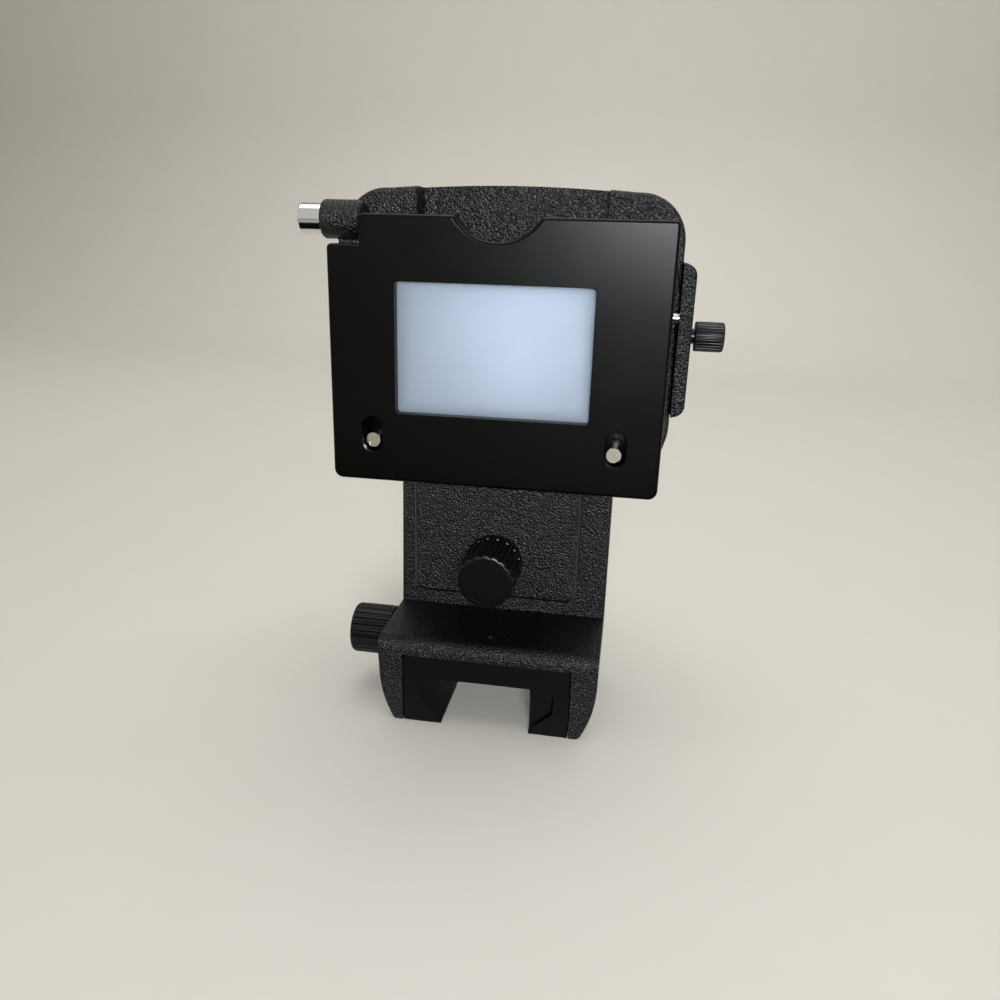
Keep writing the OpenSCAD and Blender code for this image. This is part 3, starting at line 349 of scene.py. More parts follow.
bellows_cloth = make_bellows_cloth()
print("made", bellows_cloth.name)

# %% [markdown]
# ## Finishes on the exact parts
# Most small parts keep their exact shape and only need their finish. The
# record names a material slot for each part, and this table gives the finish
# for each slot.

# %% Give each exact part its finish
FINISHES = {
    "crinkle_black": wrinkle_enamel, "satin_black": satin_lacquer, "black_anodised": anodised,
    "bright_nickel": nickel, "chrome": chrome, "steel": steel, "spring_steel": spring_steel,
    "blackened_steel": blackened, "brass": brass, "opal_acrylic": opal,
    "bellows_cloth": bellows_cloth,
}
slot_of = {part["node"]: part["material_slot"] for part in frame["record"]["subparts"]}
for name, cad in frame["nodes"].items():
    for slot in cad.material_slots:
        slot.material = FINISHES[slot_of[name]]
print("finished", len(frame["nodes"]), "parts in", len(FINISHES), "finishes")

# %% [markdown]
# ## Tools of the bench
# Each piece is worked on alone: it is selected by itself, its edges or faces
# are picked by their place, and an edit-mode tool shapes them. A copy of an
# exact part starts as loose triangles, so it is merged and its flat faces are
# dissolved to whole ones, and its edges can then be rounded.


# %% Helpers for shaping
def alone(obj):
    """Selects one object and makes it the active one."""
    bpy.ops.object.select_all(action="DESELECT")
    obj.select_set(True)
    bpy.context.view_layer.objects.active = obj


def edit(obj, mode="EDGE"):
    """Opens one object in edit mode with nothing selected."""
    alone(obj)
    bpy.ops.object.mode_set(mode="EDIT")
    bpy.ops.mesh.select_mode(type=mode)
    bpy.ops.mesh.select_all(action="DESELECT")


def close():
    """Leaves edit mode."""
    bpy.ops.object.mode_set(mode="OBJECT")


def on_plane(value, *planes):
    """Whether a coordinate lies on one of these planes, in millimetres."""
    return any(abs(value - plane) < NEAR for plane in planes)


def pick_edges(obj, test, sharp=28, along=None):
    """Selects the sharp edges whose ends pass the test, along one axis if one is given."""
    mesh = bmesh.from_edit_mesh(obj.data)
    count = 0
    for edge in mesh.edges:
        hard = len(edge.link_faces) == 2 and edge.calc_face_angle(0) > math.radians(sharp)
        step = edge.verts[1].co - edge.verts[0].co
        hit = hard and all(test(*(v.co / MM)) for v in edge.verts)
        hit = hit and (along is None or abs(step[along]) > 0.99 * step.length)
        edge.select_set(hit)
        count += hit
    bmesh.update_edit_mesh(obj.data)
    return count


def pick_faces(obj, test):
    """Selects the faces whose middle passes the test, in millimetres."""
    mesh = bmesh.from_edit_mesh(obj.data)
    for face in mesh.faces:
        face.select_set(test(*(face.calc_center_median() / MM)))
    bmesh.update_edit_mesh(obj.data)


def copy_of(node, name):
    """A merged copy of an exact part, with whole flat faces."""
    obj = bpy.data.objects.new(name, frame["nodes"][node].data.copy())
    bpy.context.scene.collection.objects.link(obj)
    alone(obj)
    if obj.data.has_custom_normals:
        bpy.ops.mesh.customdata_custom_splitnormals_clear()
    edit(obj)
    bpy.ops.mesh.select_all(action="SELECT")
    bpy.ops.mesh.remove_doubles(threshold=0.002 * MM)
    bpy.ops.mesh.dissolve_limited(angle_limit=math.radians(0.4))
    close()
    return obj


def round_edges(obj, radius, steps, test, sharp=28, along=None):
    """Rounds the sharp edges whose ends pass the test."""
    edit(obj)
    count = pick_edges(obj, test, sharp, along)
    if count:
        bpy.ops.mesh.bevel(offset=radius * MM, segments=steps, profile=0.5, affect="EDGES",
                           clamp_overlap=False)
    close()
    print(obj.name, "edges rounded:", count, "to", radius, "mm")


def cut_with(obj, cutter):
    """Cuts one object out of another with an applied Boolean."""
    cut = obj.modifiers.new("cut", "BOOLEAN")
    cut.operation = "DIFFERENCE"
    cut.solver = "EXACT"
    cut.object = cutter
    alone(obj)
    bpy.ops.object.modifier_apply(modifier="cut")
    bpy.data.objects.remove(cutter)


def settle(obj, material, body, slot, *nodes, even=True):
    """Finishes a piece: its place goes into its mesh, it rides on a body, and the exact parts it
    replaces are hidden.
    Even shading keeps a large flat face flat where it meets a rounded edge."""
    alone(obj)
    bpy.ops.object.transform_apply(location=True, rotation=True, scale=True)
    bpy.ops.object.shade_smooth_by_angle(angle=math.radians(35))
    if even:
        weigh = obj.modifiers.new("weigh", "WEIGHTED_NORMAL")
        weigh.keep_sharp = True
        bpy.ops.object.modifier_apply(modifier="weigh")
    obj.data.materials.clear()
    obj.data.materials.append(material)
    if body:
        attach(obj, body)
    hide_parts(*nodes)
    print(obj.name, "has", len(obj.data.polygons), "faces")


# %% [markdown]
# ## The front plate
# The plate is cut from sheet. A block is trimmed at the upper left and at the
# thumb notch, its corners are rounded, and its whole front edge is drawn round,
# nearly a millimetre, which shows as a thin bright line along the top. Then the
# window, the two slots and the seats for the opal and its frame are cut. Each
# cutter for an opening has a small flare, which breaks the hole's front edge.
# The hinge's ears and the latch's lug come from the exact part.

# %% Front plate
plate_low, plate_high = (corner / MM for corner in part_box("front_plate"))
opal_low, opal_high = (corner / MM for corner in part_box("opal_diffuser"))
rim_low, rim_high = (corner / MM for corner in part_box("diffuser_frame"))
post_low, post_high = (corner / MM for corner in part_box("guide_posts"))
PLATE_FRONT, PLATE_BACK = plate_low.y, rim_high.y
STEP_X, STEP_Z = -28.6, 113.0
NOTCH_X, NOTCH_Z, NOTCH_R = 0.5, 124.7, 10.6
SEAT_GAP = 0.1  # Round the opal and its frame
LEDGE = 1.8  # What the window leaves of the plate in front of the opal
SLOT_HALF, SLOT_LOW, SLOT_HIGH, SLOT_R = 2.25, 69.0, 76.9, 2.2
END_BAND = 0.1  # Millimetres: how near an edge lies to an end of the plate or the head


def block(name, low, high):
    """A plain block between two corners in millimetres, to be worked on."""
    bpy.ops.object.select_all(action="DESELECT")
    bpy.ops.mesh.primitive_cube_add(size=1, location=[(a + b) / 2 * MM for a, b in zip(low, high)])
    obj = bpy.context.object
    obj.name = name
    obj.scale = [(b - a) * MM for a, b in zip(low, high)]
    bpy.ops.object.transform_apply(location=True, rotation=True, scale=True)
    return obj


def seat_cutter(left, right, low, high, start, corner):
    """A cutter with round corners that reaches from a depth to behind the plate."""
    cutter = block("cutter", (left, start, low), (right, PLATE_BACK + 1, high))
    round_edges(cutter, corner, 8, lambda x, y, z: True, along=1)
    return cutter


def hole_cutter(left, right, low, high, corner, flare=0.15):
    """A cutter for a hole that is open at the front, where it flares."""
    cutter = seat_cutter(left, right, low, high, PLATE_FRONT + flare, corner)
    edit(cutter, "FACE")
    pick_faces(cutter, lambda x, y, z: y < PLATE_FRONT + flare + NEAR)
    bpy.ops.mesh.extrude_region_move(TRANSFORM_OT_translate={"value": (0, -2 * flare * MM, 0)})
    grow = [1 + 4 * flare / (right - left), 1, 1 + 4 * flare / (high - low)]
    middle = ((left + right) / 2 * MM, 0, (low + high) / 2 * MM)
    bpy.ops.transform.resize(value=grow, center_override=middle)
    close()
    return cutter


plate = block("plate_shell", (plate_low.x, PLATE_FRONT, plate_low.z),
              (plate_high.x, PLATE_BACK, plate_high.z))
cut_with(plate, block("cutter", (plate_low.x - 1, PLATE_FRONT - 1, STEP_Z),
                      (STEP_X, PLATE_BACK + 1, plate_high.z + 1)))
round_edges(plate, 2, 8, lambda x, y, z: z < plate_low.z + 1, along=1)
round_edges(plate, 1, 6, lambda x, y, z: z > plate_high.z - END_BAND or (
    x < plate_low.x + END_BAND and z > STEP_Z - END_BAND), along=1)
bpy.ops.object.select_all(action="DESELECT")
bpy.ops.mesh.primitive_cylinder_add(vertices=128, radius=NOTCH_R * MM, depth=10 * MM,
                                    location=(NOTCH_X * MM, PLATE_FRONT * MM, NOTCH_Z * MM),
                                    rotation=(math.pi / 2, 0, 0))
cut_with(plate, bpy.context.object)
round_edges(plate, 0.75, 5, lambda x, y, z: on_plane(y, PLATE_FRONT))
cut_with(plate, seat_cutter(rim_low.x - SEAT_GAP, rim_high.x + SEAT_GAP,
                            rim_low.z - SEAT_GAP, rim_high.z + SEAT_GAP, rim_low.y, 1))
cut_with(plate, seat_cutter(opal_low.x - SEAT_GAP, opal_high.x + SEAT_GAP,
                            opal_low.z - SEAT_GAP, opal_high.z + SEAT_GAP, opal_low.y, 1))
cut_with(plate, hole_cutter(opal_low.x + LEDGE, opal_high.x - LEDGE,
                            opal_low.z + LEDGE, opal_high.z - LEDGE, 0.8))
# Each slot lies a little to the right of its post
for middle in (post_low.x + 1.9, post_high.x - 1.3):
    cut_with(plate, hole_cutter(middle - SLOT_HALF, middle + SLOT_HALF,
                                SLOT_LOW, SLOT_HIGH, SLOT_R))

ears = copy_of("front_plate", "ears")
cut_with(ears, block("cutter", (plate_low.x - 5, PLATE_FRONT - 5, plate_low.z - 5),
                     (plate_high.x + 5, PLATE_BACK + NEAR, plate_high.z + 5)))
edit(ears, "FACE")
pick_faces(ears, lambda x, y, z: y < PLATE_BACK + 2 * NEAR)
bpy.ops.transform.translate(value=(0, -0.2 * MM, 0))
close()
alone(plate)
ears.select_set(True)
bpy.ops.object.join()
settle(plate, satin_lacquer, "plate", "satin_black", "front_plate")

# %% [markdown]
# ## The castings
# The head, the bracket, the side cover and the button's barrel are castings
# under thick enamel, which softens edges. Most outer edges are rounded by about
# a millimetre, those of the smaller cover and the barrel by less. Holes and
# pockets keep their edges.

# %% Head
head_low, head_high = (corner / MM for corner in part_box("head_bracket"))
HEAD_FRONT, HEAD_BACK = -9.2, 4.5
# Heights and bands that tell the head's outer edges from its pockets. Between the
# two heights for holes lie the frame's screw holes, and the middle of both low
# corners with them, so nothing there is rounded.
ARM_END, WINGS_START, LOW_CORNERS, TOP_CORNERS, CROWN = 65.1, 64.9, 76.1, 114.9, 124.2
HOLES_LOW, HOLES_HIGH, ARM_HALF, ARM_FOOT = 66, 72, 17.2, 34
LOW_CORNER_BAND, TOP_CORNER_BAND = 11.1, 9.7
CASTING_SHARP = 40  # Degrees


def on_head_outline(x, y, z):
    """Whether a point lies on the head's outer edge, front or back."""
    at_face = on_plane(y, HEAD_FRONT, HEAD_BACK)
    in_wing = x < head_low.x + LOW_CORNER_BAND or x > head_high.x - LOW_CORNER_BAND
    wide = z > WINGS_START and in_wing and not HOLES_LOW < z < HOLES_HIGH
    corner = z > WINGS_START and (
        x < head_low.x + END_BAND or x > head_high.x - END_BAND or z < LOW_CORNERS)
    top = z > CROWN
    arm = z < ARM_END and (abs(x) > ARM_HALF or z < ARM_FOOT)
    high = z > TOP_CORNERS and (
        x < head_low.x + TOP_CORNER_BAND or x > head_high.x - TOP_CORNER_BAND)
    return at_face and (top or arm or (wide and (corner or high)))


head = copy_of("head_bracket", "head_casting")
round_edges(head, 1.1, 4, on_head_outline, CASTING_SHARP)
settle(head, wrinkle_enamel, "head", "crinkle_black", "head_bracket")

# %% Base bracket
base_low, base_high = (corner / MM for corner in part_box("base_bracket"))
shoe_low, shoe_high = (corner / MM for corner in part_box("rail_shoe"))
COLUMN_FRONT = 4.8
FOOT_TOP, COLUMN_START = 22, 21
FLANK_BAND, COLUMN_BAND = 4, 4.1
GROOVE_IN, GROOVE_OUT = 10.8, 15.2


def on_base_outline(x, y, z):
    """Whether a point lies on an outer edge of the foot or the column."""
    foot_end = on_plane(y, base_low.y, base_high.y)
    flank = abs(x) > base_high.x - FLANK_BAND and z < FOOT_TOP
    column = z > COLUMN_START and abs(x) > base_high.x - COLUMN_BAND and (
        on_plane(y, COLUMN_FRONT) or foot_end)
    top = z > base_high.z - COLUMN_BAND and on_plane(y, COLUMN_FRONT, base_high.y)
    groove = GROOVE_IN < abs(x) < GROOVE_OUT
    return ((foot_end and flank) or column or top) and not groove


base = copy_of("base_bracket", "base_casting")
round_edges(base, 1.0, 4, on_base_outline, CASTING_SHARP)
settle(base, wrinkle_enamel, "base", "crinkle_black", "base_bracket")

# %% Side cover and barrel
cover_low, cover_high = (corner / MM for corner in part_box("side_cover"))
cover = copy_of("side_cover", "cover_casting")
round_edges(cover, 0.7, 3, lambda x, y, z: x > cover_low.x + END_BAND and (
    on_plane(y, cover_low.y, cover_high.y)))
settle(cover, wrinkle_enamel, "head", "crinkle_black", "side_cover")

_, barrel_high = (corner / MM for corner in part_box("release_barrel"))
# The barrel is rounded in front only, from 6 mm below its top down
TOP_SKIP, BARREL_FRONT = 6, -11.8
barrel = copy_of("release_barrel", "barrel_casting")
round_edges(barrel, 0.35, 3, lambda x, y, z: z < barrel_high.z - TOP_SKIP and y < BARREL_FRONT)
settle(barrel, wrinkle_enamel, "stage", "crinkle_black", "release_barrel")

# %% [markdown]
# ## The rail shoe and the jaw
# The shoe is milled from bar and lacquered. Its edges are only broken, which
# gives it the fine light line along its top edge. The jaw and the stage are
# done in the same way.

# %% Shoe, jaw and stage
BROKEN = 0.2
STAGE_HALF, STAGE_TOP = 31.4, 110
shoe = copy_of("rail_shoe", "shoe_block")
round_edges(shoe, BROKEN, 2, lambda x, y, z: on_plane(y, shoe_low.y, shoe_high.y))
settle(shoe, shoe_lacquer, "base", slot_of["rail_shoe"], "rail_shoe")

jaw_low, jaw_high = (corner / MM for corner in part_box("clamp_jaw"))
jaw = copy_of("clamp_jaw", "jaw_bar")
round_edges(jaw, BROKEN, 2, lambda x, y, z: on_plane(y, jaw_low.y, jaw_high.y))
settle(jaw, shoe_lacquer, "jaw", slot_of["clamp_jaw"], "clamp_jaw")

stage = copy_of("stage_plate", "stage_sheet")
round_edges(stage, BROKEN, 2, lambda x, y, z: abs(x) > STAGE_HALF or z > STAGE_TOP)
settle(stage, satin_lacquer, "stage", "satin_black", "stage_plate")

# %% [markdown]
# ## Knobs
# All three knobs are turned from bar: a chamfer at the outer end, and grooves
# milled along the side that run out through the chamfer and give it a wavy
# rim. The same way makes them here. A cylinder gets its chamfer with a bevel,
# one round cutter is copied in a ring, and a Boolean cuts all grooves at once.
# Breaking the ridges by up to a tenth of a millimetre gives each a highlight.


# %% A knob
FOOT_ROUND = 0.3
GROOVE_SHIFT = 0.25  # How far a groove's axis lies outside the rim, in groove radii
TURNED_SHARP = 60  # Degrees


def make_knob(name, width, length, grooves, groove_r, chamfer, collar, bores, neck=None):
    """A knob that stands on the origin and points up. Bores are (diameter, from, to) along it,
    and a neck is (diameter, length) below it."""
    bpy.ops.object.select_all(action="DESELECT")
    bpy.ops.mesh.primitive_cylinder_add(vertices=grooves * 6, radius=width / 2 * MM,
                                        depth=length * MM, location=(0, 0, length / 2 * MM))
    knob = bpy.context.object
    knob.name = name
    bpy.ops.object.transform_apply(location=True)
    round_edges(knob, chamfer, 2, lambda x, y, z: z > length - NEAR, TURNED_SHARP)
    round_edges(knob, FOOT_ROUND, 2, lambda x, y, z: z < NEAR, TURNED_SHARP)
    if neck:
        edit(knob, "FACE")
        pick_faces(knob, lambda x, y, z: z < 0.001)
        bpy.ops.mesh.inset(thickness=(width / 2 - FOOT_ROUND - neck[0] / 2) * MM)
        bpy.ops.mesh.extrude_region_move(TRANSFORM_OT_translate={"value": (0, 0, -neck[1] * MM)})
        close()
    reach = width / 2 + groove_r * GROOVE_SHIFT
    bpy.ops.object.select_all(action="DESELECT")
    bpy.ops.mesh.primitive_cylinder_add(vertices=20, radius=groove_r * MM, depth=length * MM,
                                        location=(reach * MM, 0, (collar + length / 2) * MM))
    ring = bpy.context.object
    bpy.ops.object.transform_apply(location=True)
    bpy.ops.object.mode_set(mode="EDIT")
    bpy.ops.mesh.select_all(action="SELECT")
    for _ in range(grooves - 1):
        bpy.ops.mesh.duplicate()
        bpy.ops.transform.rotate(value=math.tau / grooves, orient_axis="Z",
                                 center_override=(0, 0, 0))
    close()
    cut_with(knob, ring)
    for diameter, start, end in bores:
        bpy.ops.object.select_all(action="DESELECT")
        bpy.ops.mesh.primitive_cylinder_add(vertices=48, radius=diameter / 2 * MM,
                                            depth=(end - start) * MM,
                                            location=(0, 0, (start + end) / 2 * MM))
        cut_with(knob, bpy.context.object)
    ridge = min(0.1, groove_r * 0.25)
    round_edges(knob, ridge, 2, lambda x, y, z: (
        math.hypot(x, y) > width / 2 - groove_r and z > collar - 0.1))
    return knob


def place(obj, at, turn):
    """Turns and moves a piece; settle puts both into its mesh."""
    obj.rotation_euler = [math.radians(a) for a in turn]
    obj.location = Vector(at) * MM


# %% Clamp knob
low, high = (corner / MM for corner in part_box("clamp_knob"))
clamp_knob = make_knob("clamp_knob_turned", high.z - low.z, high.x - low.x, grooves=24,
                       groove_r=0.55, chamfer=0.9, collar=0.8, bores=[(4, -1, high.x - low.x - 3)])
place(clamp_knob, (high.x, (low.y + high.y) / 2, (low.z + high.z) / 2), (0, -90, 0))
settle(clamp_knob, anodised, "clamp", "black_anodised", "clamp_knob")

# %% Lock knob
low, high = (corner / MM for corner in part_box("lift_knob"))
long = high.y - low.y
lift_knob = make_knob("lock_knob_turned", high.x - low.x, long, grooves=18, groove_r=0.75,
                      chamfer=1.0, collar=0.9,
                      bores=[(4.1, -1, long - 3), (10.4, long - 0.8, long + 1)])
place(lift_knob, ((low.x + high.x) / 2, high.y, (low.z + high.z) / 2), (90, 0, 0))
settle(lift_knob, anodised, "lift_lock_knob", "black_anodised", "lift_knob")

# %% Shift knob
low, high = (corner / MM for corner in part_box("shift_knob"))
wide = high.z - low.z
long = 6.2
shift_knob = make_knob("shift_knob_turned", wide, long, grooves=30, groove_r=0.22, chamfer=0.5,
                       collar=-0.01, bores=[(2.4, -1, long - 1.5)], neck=(3.2, 0.8))
print("shift knob", round(wide, 2), "mm wide")
place(shift_knob, (high.x - long, (low.y + high.y) / 2, (low.z + high.z) / 2), (0, 90, 0))
settle(shift_knob, anodised, "shift", "black_anodised", "shift_knob")

# %% [markdown]
# ## The release button
# The button is a chromed pin with a polished, lightly dished end. It runs in
# the barrel, and its thin stem reaches the latch. One cylinder makes it: its
# outer rim is rounded, the end is inset and pressed in, and the inner end is
# inset to the stem's width and extruded.

# %% Release button
low, high = (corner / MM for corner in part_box("release_button"))
button_r, button_l, stem_r = (high.z - low.z) / 2, 7.0, 0.85
DISH_RIM, DISH_DEPTH = 0.9, 0.12
bpy.ops.object.select_all(action="DESELECT")
bpy.ops.mesh.primitive_cylinder_add(vertices=72, radius=button_r * MM, depth=button_l * MM,
                                    location=(0, 0, -button_l / 2 * MM))
button = bpy.context.object
button.name = "button_chromed"
bpy.ops.object.transform_apply(location=True)
edit(button, "FACE")
pick_faces(button, lambda x, y, z: z > -NEAR)
bpy.ops.mesh.inset(thickness=DISH_RIM * MM)
bpy.ops.transform.translate(value=(0, 0, -DISH_DEPTH * MM))
bpy.ops.mesh.select_all(action="DESELECT")
pick_faces(button, lambda x, y, z: z < -button_l + NEAR)
bpy.ops.mesh.inset(thickness=(button_r - stem_r) * MM)
bpy.ops.mesh.extrude_region_move(
    TRANSFORM_OT_translate={"value": (0, 0, -(high.x - low.x - button_l) * MM)})
close()
round_edges(button, 0.45, 4, lambda x, y, z: (
    z > -NEAR and math.hypot(x, y) > button_r - NEAR), TURNED_SHARP)
round_edges(button, 0.15, 2, lambda x, y, z: (
    on_plane(z, -button_l) and math.hypot(x, y) > button_r - NEAR), TURNED_SHARP)
place(button, (low.x, (low.y + high.y) / 2, (low.z + high.z) / 2), (0, -90, 0))
settle(button, chrome, "button", "chrome", "release_button")

# %% [markdown]
# ## The button's spring
# A wound wire brings the button back. A small circle swept by a Screw modifier
# gives the turns, and its two open ends are filled. The spring is squeezed
# between the button and the barrel's floor as the button goes in.

# %% Button spring
low, high = (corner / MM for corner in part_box("button_spring"))
wire, turns, steps_per_turn = 0.5, 4.5, 28
coil_r = (high.z - low.z - wire) / 2
bpy.ops.object.select_all(action="DESELECT")
bpy.ops.mesh.primitive_circle_add(vertices=12, radius=wire / 2 * MM,
                                  location=(coil_r * MM, 0, wire / 2 * MM),
                                  rotation=(math.pi / 2, 0, 0))
spring = bpy.context.object
spring.name = "spring_wound"
bpy.ops.object.transform_apply(location=True, rotation=True)
winding = spring.modifiers.new("winding", "SCREW")
winding.axis = "Z"
winding.angle = math.tau * turns
winding.screw_offset = (high.x - low.x - wire) * MM
winding.steps = winding.render_steps = int(turns * steps_per_turn)
alone(spring)
bpy.ops.object.modifier_apply(modifier="winding")
edit(spring)
bpy.ops.mesh.select_non_manifold()
bpy.ops.mesh.fill_holes(sides=0)
bpy.ops.mesh.select_all(action="SELECT")
bpy.ops.mesh.normals_make_consistent(inside=False)
close()
place(spring, (high.x, (low.y + high.y) / 2, (low.z + high.z) / 2), (0, -90, 0))
settle(spring, spring_steel, "stage", "spring_steel", "button_spring", even=False)
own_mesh(spring)

# %% [markdown]
# ## The bellows
# The bellows are one tube of coated cloth, folded like a concertina. The work
# starts with the outline of the first fold, a rectangle with cut corners. It is
# extruded backwards, and every second ring is drawn in. The skin then gets its
# thickness, and each crease is rounded, because thick cloth can't fold sharp.

# %% Bellows
low, high = (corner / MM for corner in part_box("bellows"))
folds, fold_deep, corner_cut = 8, 4, 4
skin_thick, crease_round = 0.6, 0.22
half_w, half_h = (high.x - low.x) / 2, (high.z - low.z) / 2
centre_z = (low.z + high.z) / 2
bpy.ops.object.select_all(action="DESELECT")
bpy.ops.mesh.primitive_plane_add(size=1, location=(0, low.y * MM, centre_z * MM),
                                 rotation=(math.pi / 2, 0, 0))
bellows = bpy.context.object
bellows.name = "bellows_folded"
bellows.scale = (2 * (half_w - fold_deep) * MM, 2 * (half_h - fold_deep) * MM, 1)
bpy.ops.object.transform_apply(location=True, rotation=True, scale=True)
bpy.ops.object.mode_set(mode="EDIT")
bpy.ops.mesh.select_all(action="SELECT")
bpy.ops.mesh.bevel(offset=corner_cut * MM, segments=1, affect="VERTICES")
bpy.ops.mesh.select_all(action="SELECT")
bpy.ops.mesh.delete(type="ONLY_FACE")
bpy.ops.mesh.select_mode(type="EDGE")
bpy.ops.mesh.select_all(action="SELECT")
pitch = (high.y - low.y) / (2 * folds)
grow_w = half_w / (half_w - fold_deep)
grow_h = half_h / (half_h - fold_deep)
for i in range(2 * folds):
    out = i % 2 == 0
    size = (grow_w, 1, grow_h) if out else (1 / grow_w, 1, 1 / grow_h)
    bpy.ops.mesh.extrude_edges_move(TRANSFORM_OT_translate={"value": (0, pitch * MM, 0)})
    bpy.ops.transform.resize(value=size, center_override=(0, 0, centre_z * MM))
bpy.ops.mesh.select_all(action="SELECT")
bpy.ops.mesh.normals_make_consistent(inside=False)
close()
skin = bellows.modifiers.new("skin", "SOLIDIFY")
skin.thickness = skin_thick * MM
skin.offset = -1
crease = bellows.modifiers.new("crease", "BEVEL")
crease.width = crease_round * MM
crease.segments = 2
crease.limit_method = "ANGLE"
crease.angle_limit = math.radians(40)
alone(bellows)
for modifier in ("skin", "crease"):
    bpy.ops.object.modifier_apply(modifier=modifier)
settle(bellows, bellows_cloth, None, "bellows_cloth", "bellows", even=False)
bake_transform(bellows)

# %% [markdown]
# ## The lens ring and the bellows frames
# The ring that goes over the lens is turned aluminium, anodised black. The two
# frames are milled and lacquered. All three get broken edges.

# %% Lens ring and frames
_, ring_high = (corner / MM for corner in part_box("lens_ring"))
FRAME_BAND = 2.6
lens_ring = copy_of("lens_ring", "lens_ring_turned")
round_edges(lens_ring, 0.4, 3, lambda x, y, z: y > ring_high.y - NEAR, 50)
settle(lens_ring, anodised, "lens_end", slot_of["lens_ring"], "lens_ring")
for node, body in (("bellows_front_frame", "head"), ("bellows_rear_frame", "lens_end")):
    low, high = (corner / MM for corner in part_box(node))
    plain = copy_of(node, node + "_milled")
    round_edges(plain, 0.25, 2, lambda x, y, z, w=high.x, l=low.z, h=high.z: (
        abs(x) > w - FRAME_BAND or z < l + FRAME_BAND or z > h - FRAME_BAND))
    settle(plain, satin_lacquer, body, slot_of[node], node)

# %% [markdown]
# ## Floor, backdrop and light
# The object stands on a pale sweep: a floor that curves up into a wall behind it. A large lamp
# above gives the soft light, and a small one behind the camera, a little above the object's top,
# puts the sheen on the plate. A faint lamp inside the lens ring shines into the bellows, so that
# the opal window glows from within. A black card, which only mirrors see, keeps the foot's top
# dark: it is painted shade, a shadow on the floor in front that shows only in reflections.

# %% Floor and backdrop
FLOOR, FLOOR_AT, WALL = 3.0, -0.7, 1.6  # Metres
SWEEP_R = 250  # Millimetres
bpy.ops.object.select_all(action="DESELECT")
bpy.ops.mesh.primitive_plane_add(size=FLOOR, location=(0, FLOOR_AT, -0.00005))
sweep = bpy.context.object
sweep.name = "floor_sweep"
bpy.ops.object.transform_apply(location=True)
edit(sweep)
mesh = bmesh.from_edit_mesh(sweep.data)
for edge in mesh.edges:
    edge.select_set(all(v.co.y > 0.7 for v in edge.verts))
bmesh.update_edit_mesh(sweep.data)
bpy.ops.mesh.extrude_region_move(TRANSFORM_OT_translate={"value": (0, 0, WALL)})
close()
round_edges(sweep, SWEEP_R, 16, lambda x, y, z: y > 700 and z < 1, TURNED_SHARP)
alone(sweep)
bpy.ops.object.shade_smooth()
sweep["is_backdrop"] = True


def make_paper():
    """Pale backdrop paper, matt, with the faintest mottling."""
    material, tree = new_finish("backdrop_paper")
    place = add(tree, "ShaderNodeTexCoord").outputs["Object"]
    mottle = add(tree, "ShaderNodeTexNoise", None, {"Vector": place, "Scale": 40, "Detail": 3})
    colour = add(tree, "ShaderNodeMix", {"data_type": "RGBA"},
                 {"Factor": mottle.outputs["Fac"], 6: linear("dbd7cd"), 7: linear("dfdbd2")})
    shader = add(tree, "ShaderNodeBsdfPrincipled", None,
                 {"Base Color": colour.outputs[2], "Roughness": 0.9, "Specular IOR Level": 0.1})
    close_finish(tree, shader)
    return material


sweep.data.materials.append(make_paper())


# %% Lamps and world
def add_lamp(name, at, aim, width, height, watts, colour="ffffff"):
    """A soft rectangular lamp at one point that faces another, in metres."""
    lamp = bpy.data.lights.new(name, "AREA")
    lamp.shape = "RECTANGLE"
    lamp.size, lamp.size_y = width, height
    lamp.energy = watts
    lamp.color = linear(colour)[:3]
    obj = bpy.data.objects.new(name, lamp)
    bpy.context.scene.collection.objects.link(obj)
    obj.location = at
    obj.rotation_euler = (Vector(aim) - Vector(at)).to_track_quat("-Z", "Y").to_euler()
    return obj


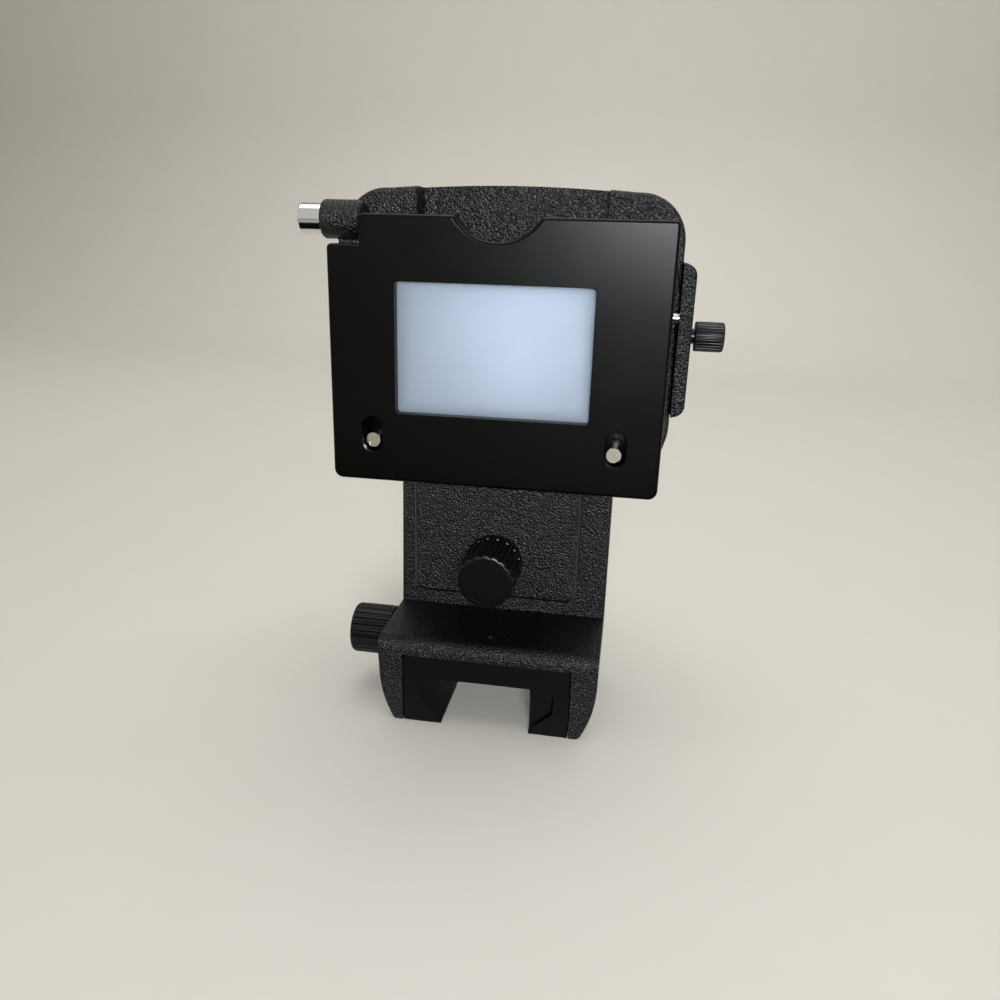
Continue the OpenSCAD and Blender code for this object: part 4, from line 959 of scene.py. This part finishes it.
add_lamp("lamp_above", (0.05, 0.2, 1.1), (0, 0.1, 0), width=1.2, height=1.2, watts=8.5)
lamp_sheen = add_lamp("lamp_sheen", (0.1, -0.61, 0.195), (0.036, -0.02, 0.119),
                      width=0.2, height=0.1, watts=0.55, colour="f6faff")
lamp_sheen.data.spread = math.radians(60)
lamp_through = add_lamp("lamp_through", (0, 0.039, 0.0919), (0, 0, 0.0919),
                        width=0.042, height=0.042, watts=0.04, colour="f2f6ff")
lamp_through.data.shape = "DISK"

# A black card lies before the foot. Only mirrors see it: it is painted shade, a shadow on the floor
# that darkens the reflections in the foot.
CARD_W, CARD_D = 0.36, 0.19  # Metres
bpy.ops.object.select_all(action="DESELECT")
bpy.ops.mesh.primitive_plane_add(size=1, location=(0, -0.125, 0.001))
card = bpy.context.object
card.name = "card_on_floor"
card.scale = (CARD_W, CARD_D, 1)
bpy.ops.object.transform_apply(location=True, scale=True)
painted_shade_card, card_tree = new_finish("painted_shade_card")
close_finish(card_tree, add(card_tree, "ShaderNodeBsdfDiffuse", None, {"Color": linear("040404")}))
card.data.materials.append(painted_shade_card)
for ray in ("camera", "diffuse", "transmission", "volume_scatter", "shadow"):
    setattr(card, "visible_" + ray, False)
card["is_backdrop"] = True

# Seen directly or in a mirror the studio is pale, like the paper, but it lights the part weakly
SEEN, LIT = 0.85, 0.32
world = bpy.data.worlds.new("studio")
bpy.context.scene.world = world
world.use_nodes = True
world.node_tree.nodes.clear()
path = add(world.node_tree, "ShaderNodeLightPath")
seen = add(world.node_tree, "ShaderNodeMath", {"operation": "ADD", "use_clamp": True},
           {0: path.outputs["Is Camera Ray"], 1: path.outputs["Is Glossy Ray"]})
seen = add(world.node_tree, "ShaderNodeMath", {"operation": "ADD", "use_clamp": True},
           {0: seen.outputs[0], 1: path.outputs["Is Transmission Ray"]})
level = add(world.node_tree, "ShaderNodeMapRange", None,
            {"Value": seen.outputs[0], "To Min": LIT, "To Max": SEEN})
sky = add(world.node_tree, "ShaderNodeBackground", None,
          {"Color": linear("dedcd6"), "Strength": level.outputs[0]})
add(world.node_tree, "ShaderNodeOutputWorld", None, {"Surface": sky.outputs[0]})
bpy.context.scene.view_settings.view_transform = "Standard"
print("three lamps, one world")

# %% Sizes, and the end
low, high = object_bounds()
print("visual", [round(v / MM, 1) for v in (*low, *high)])
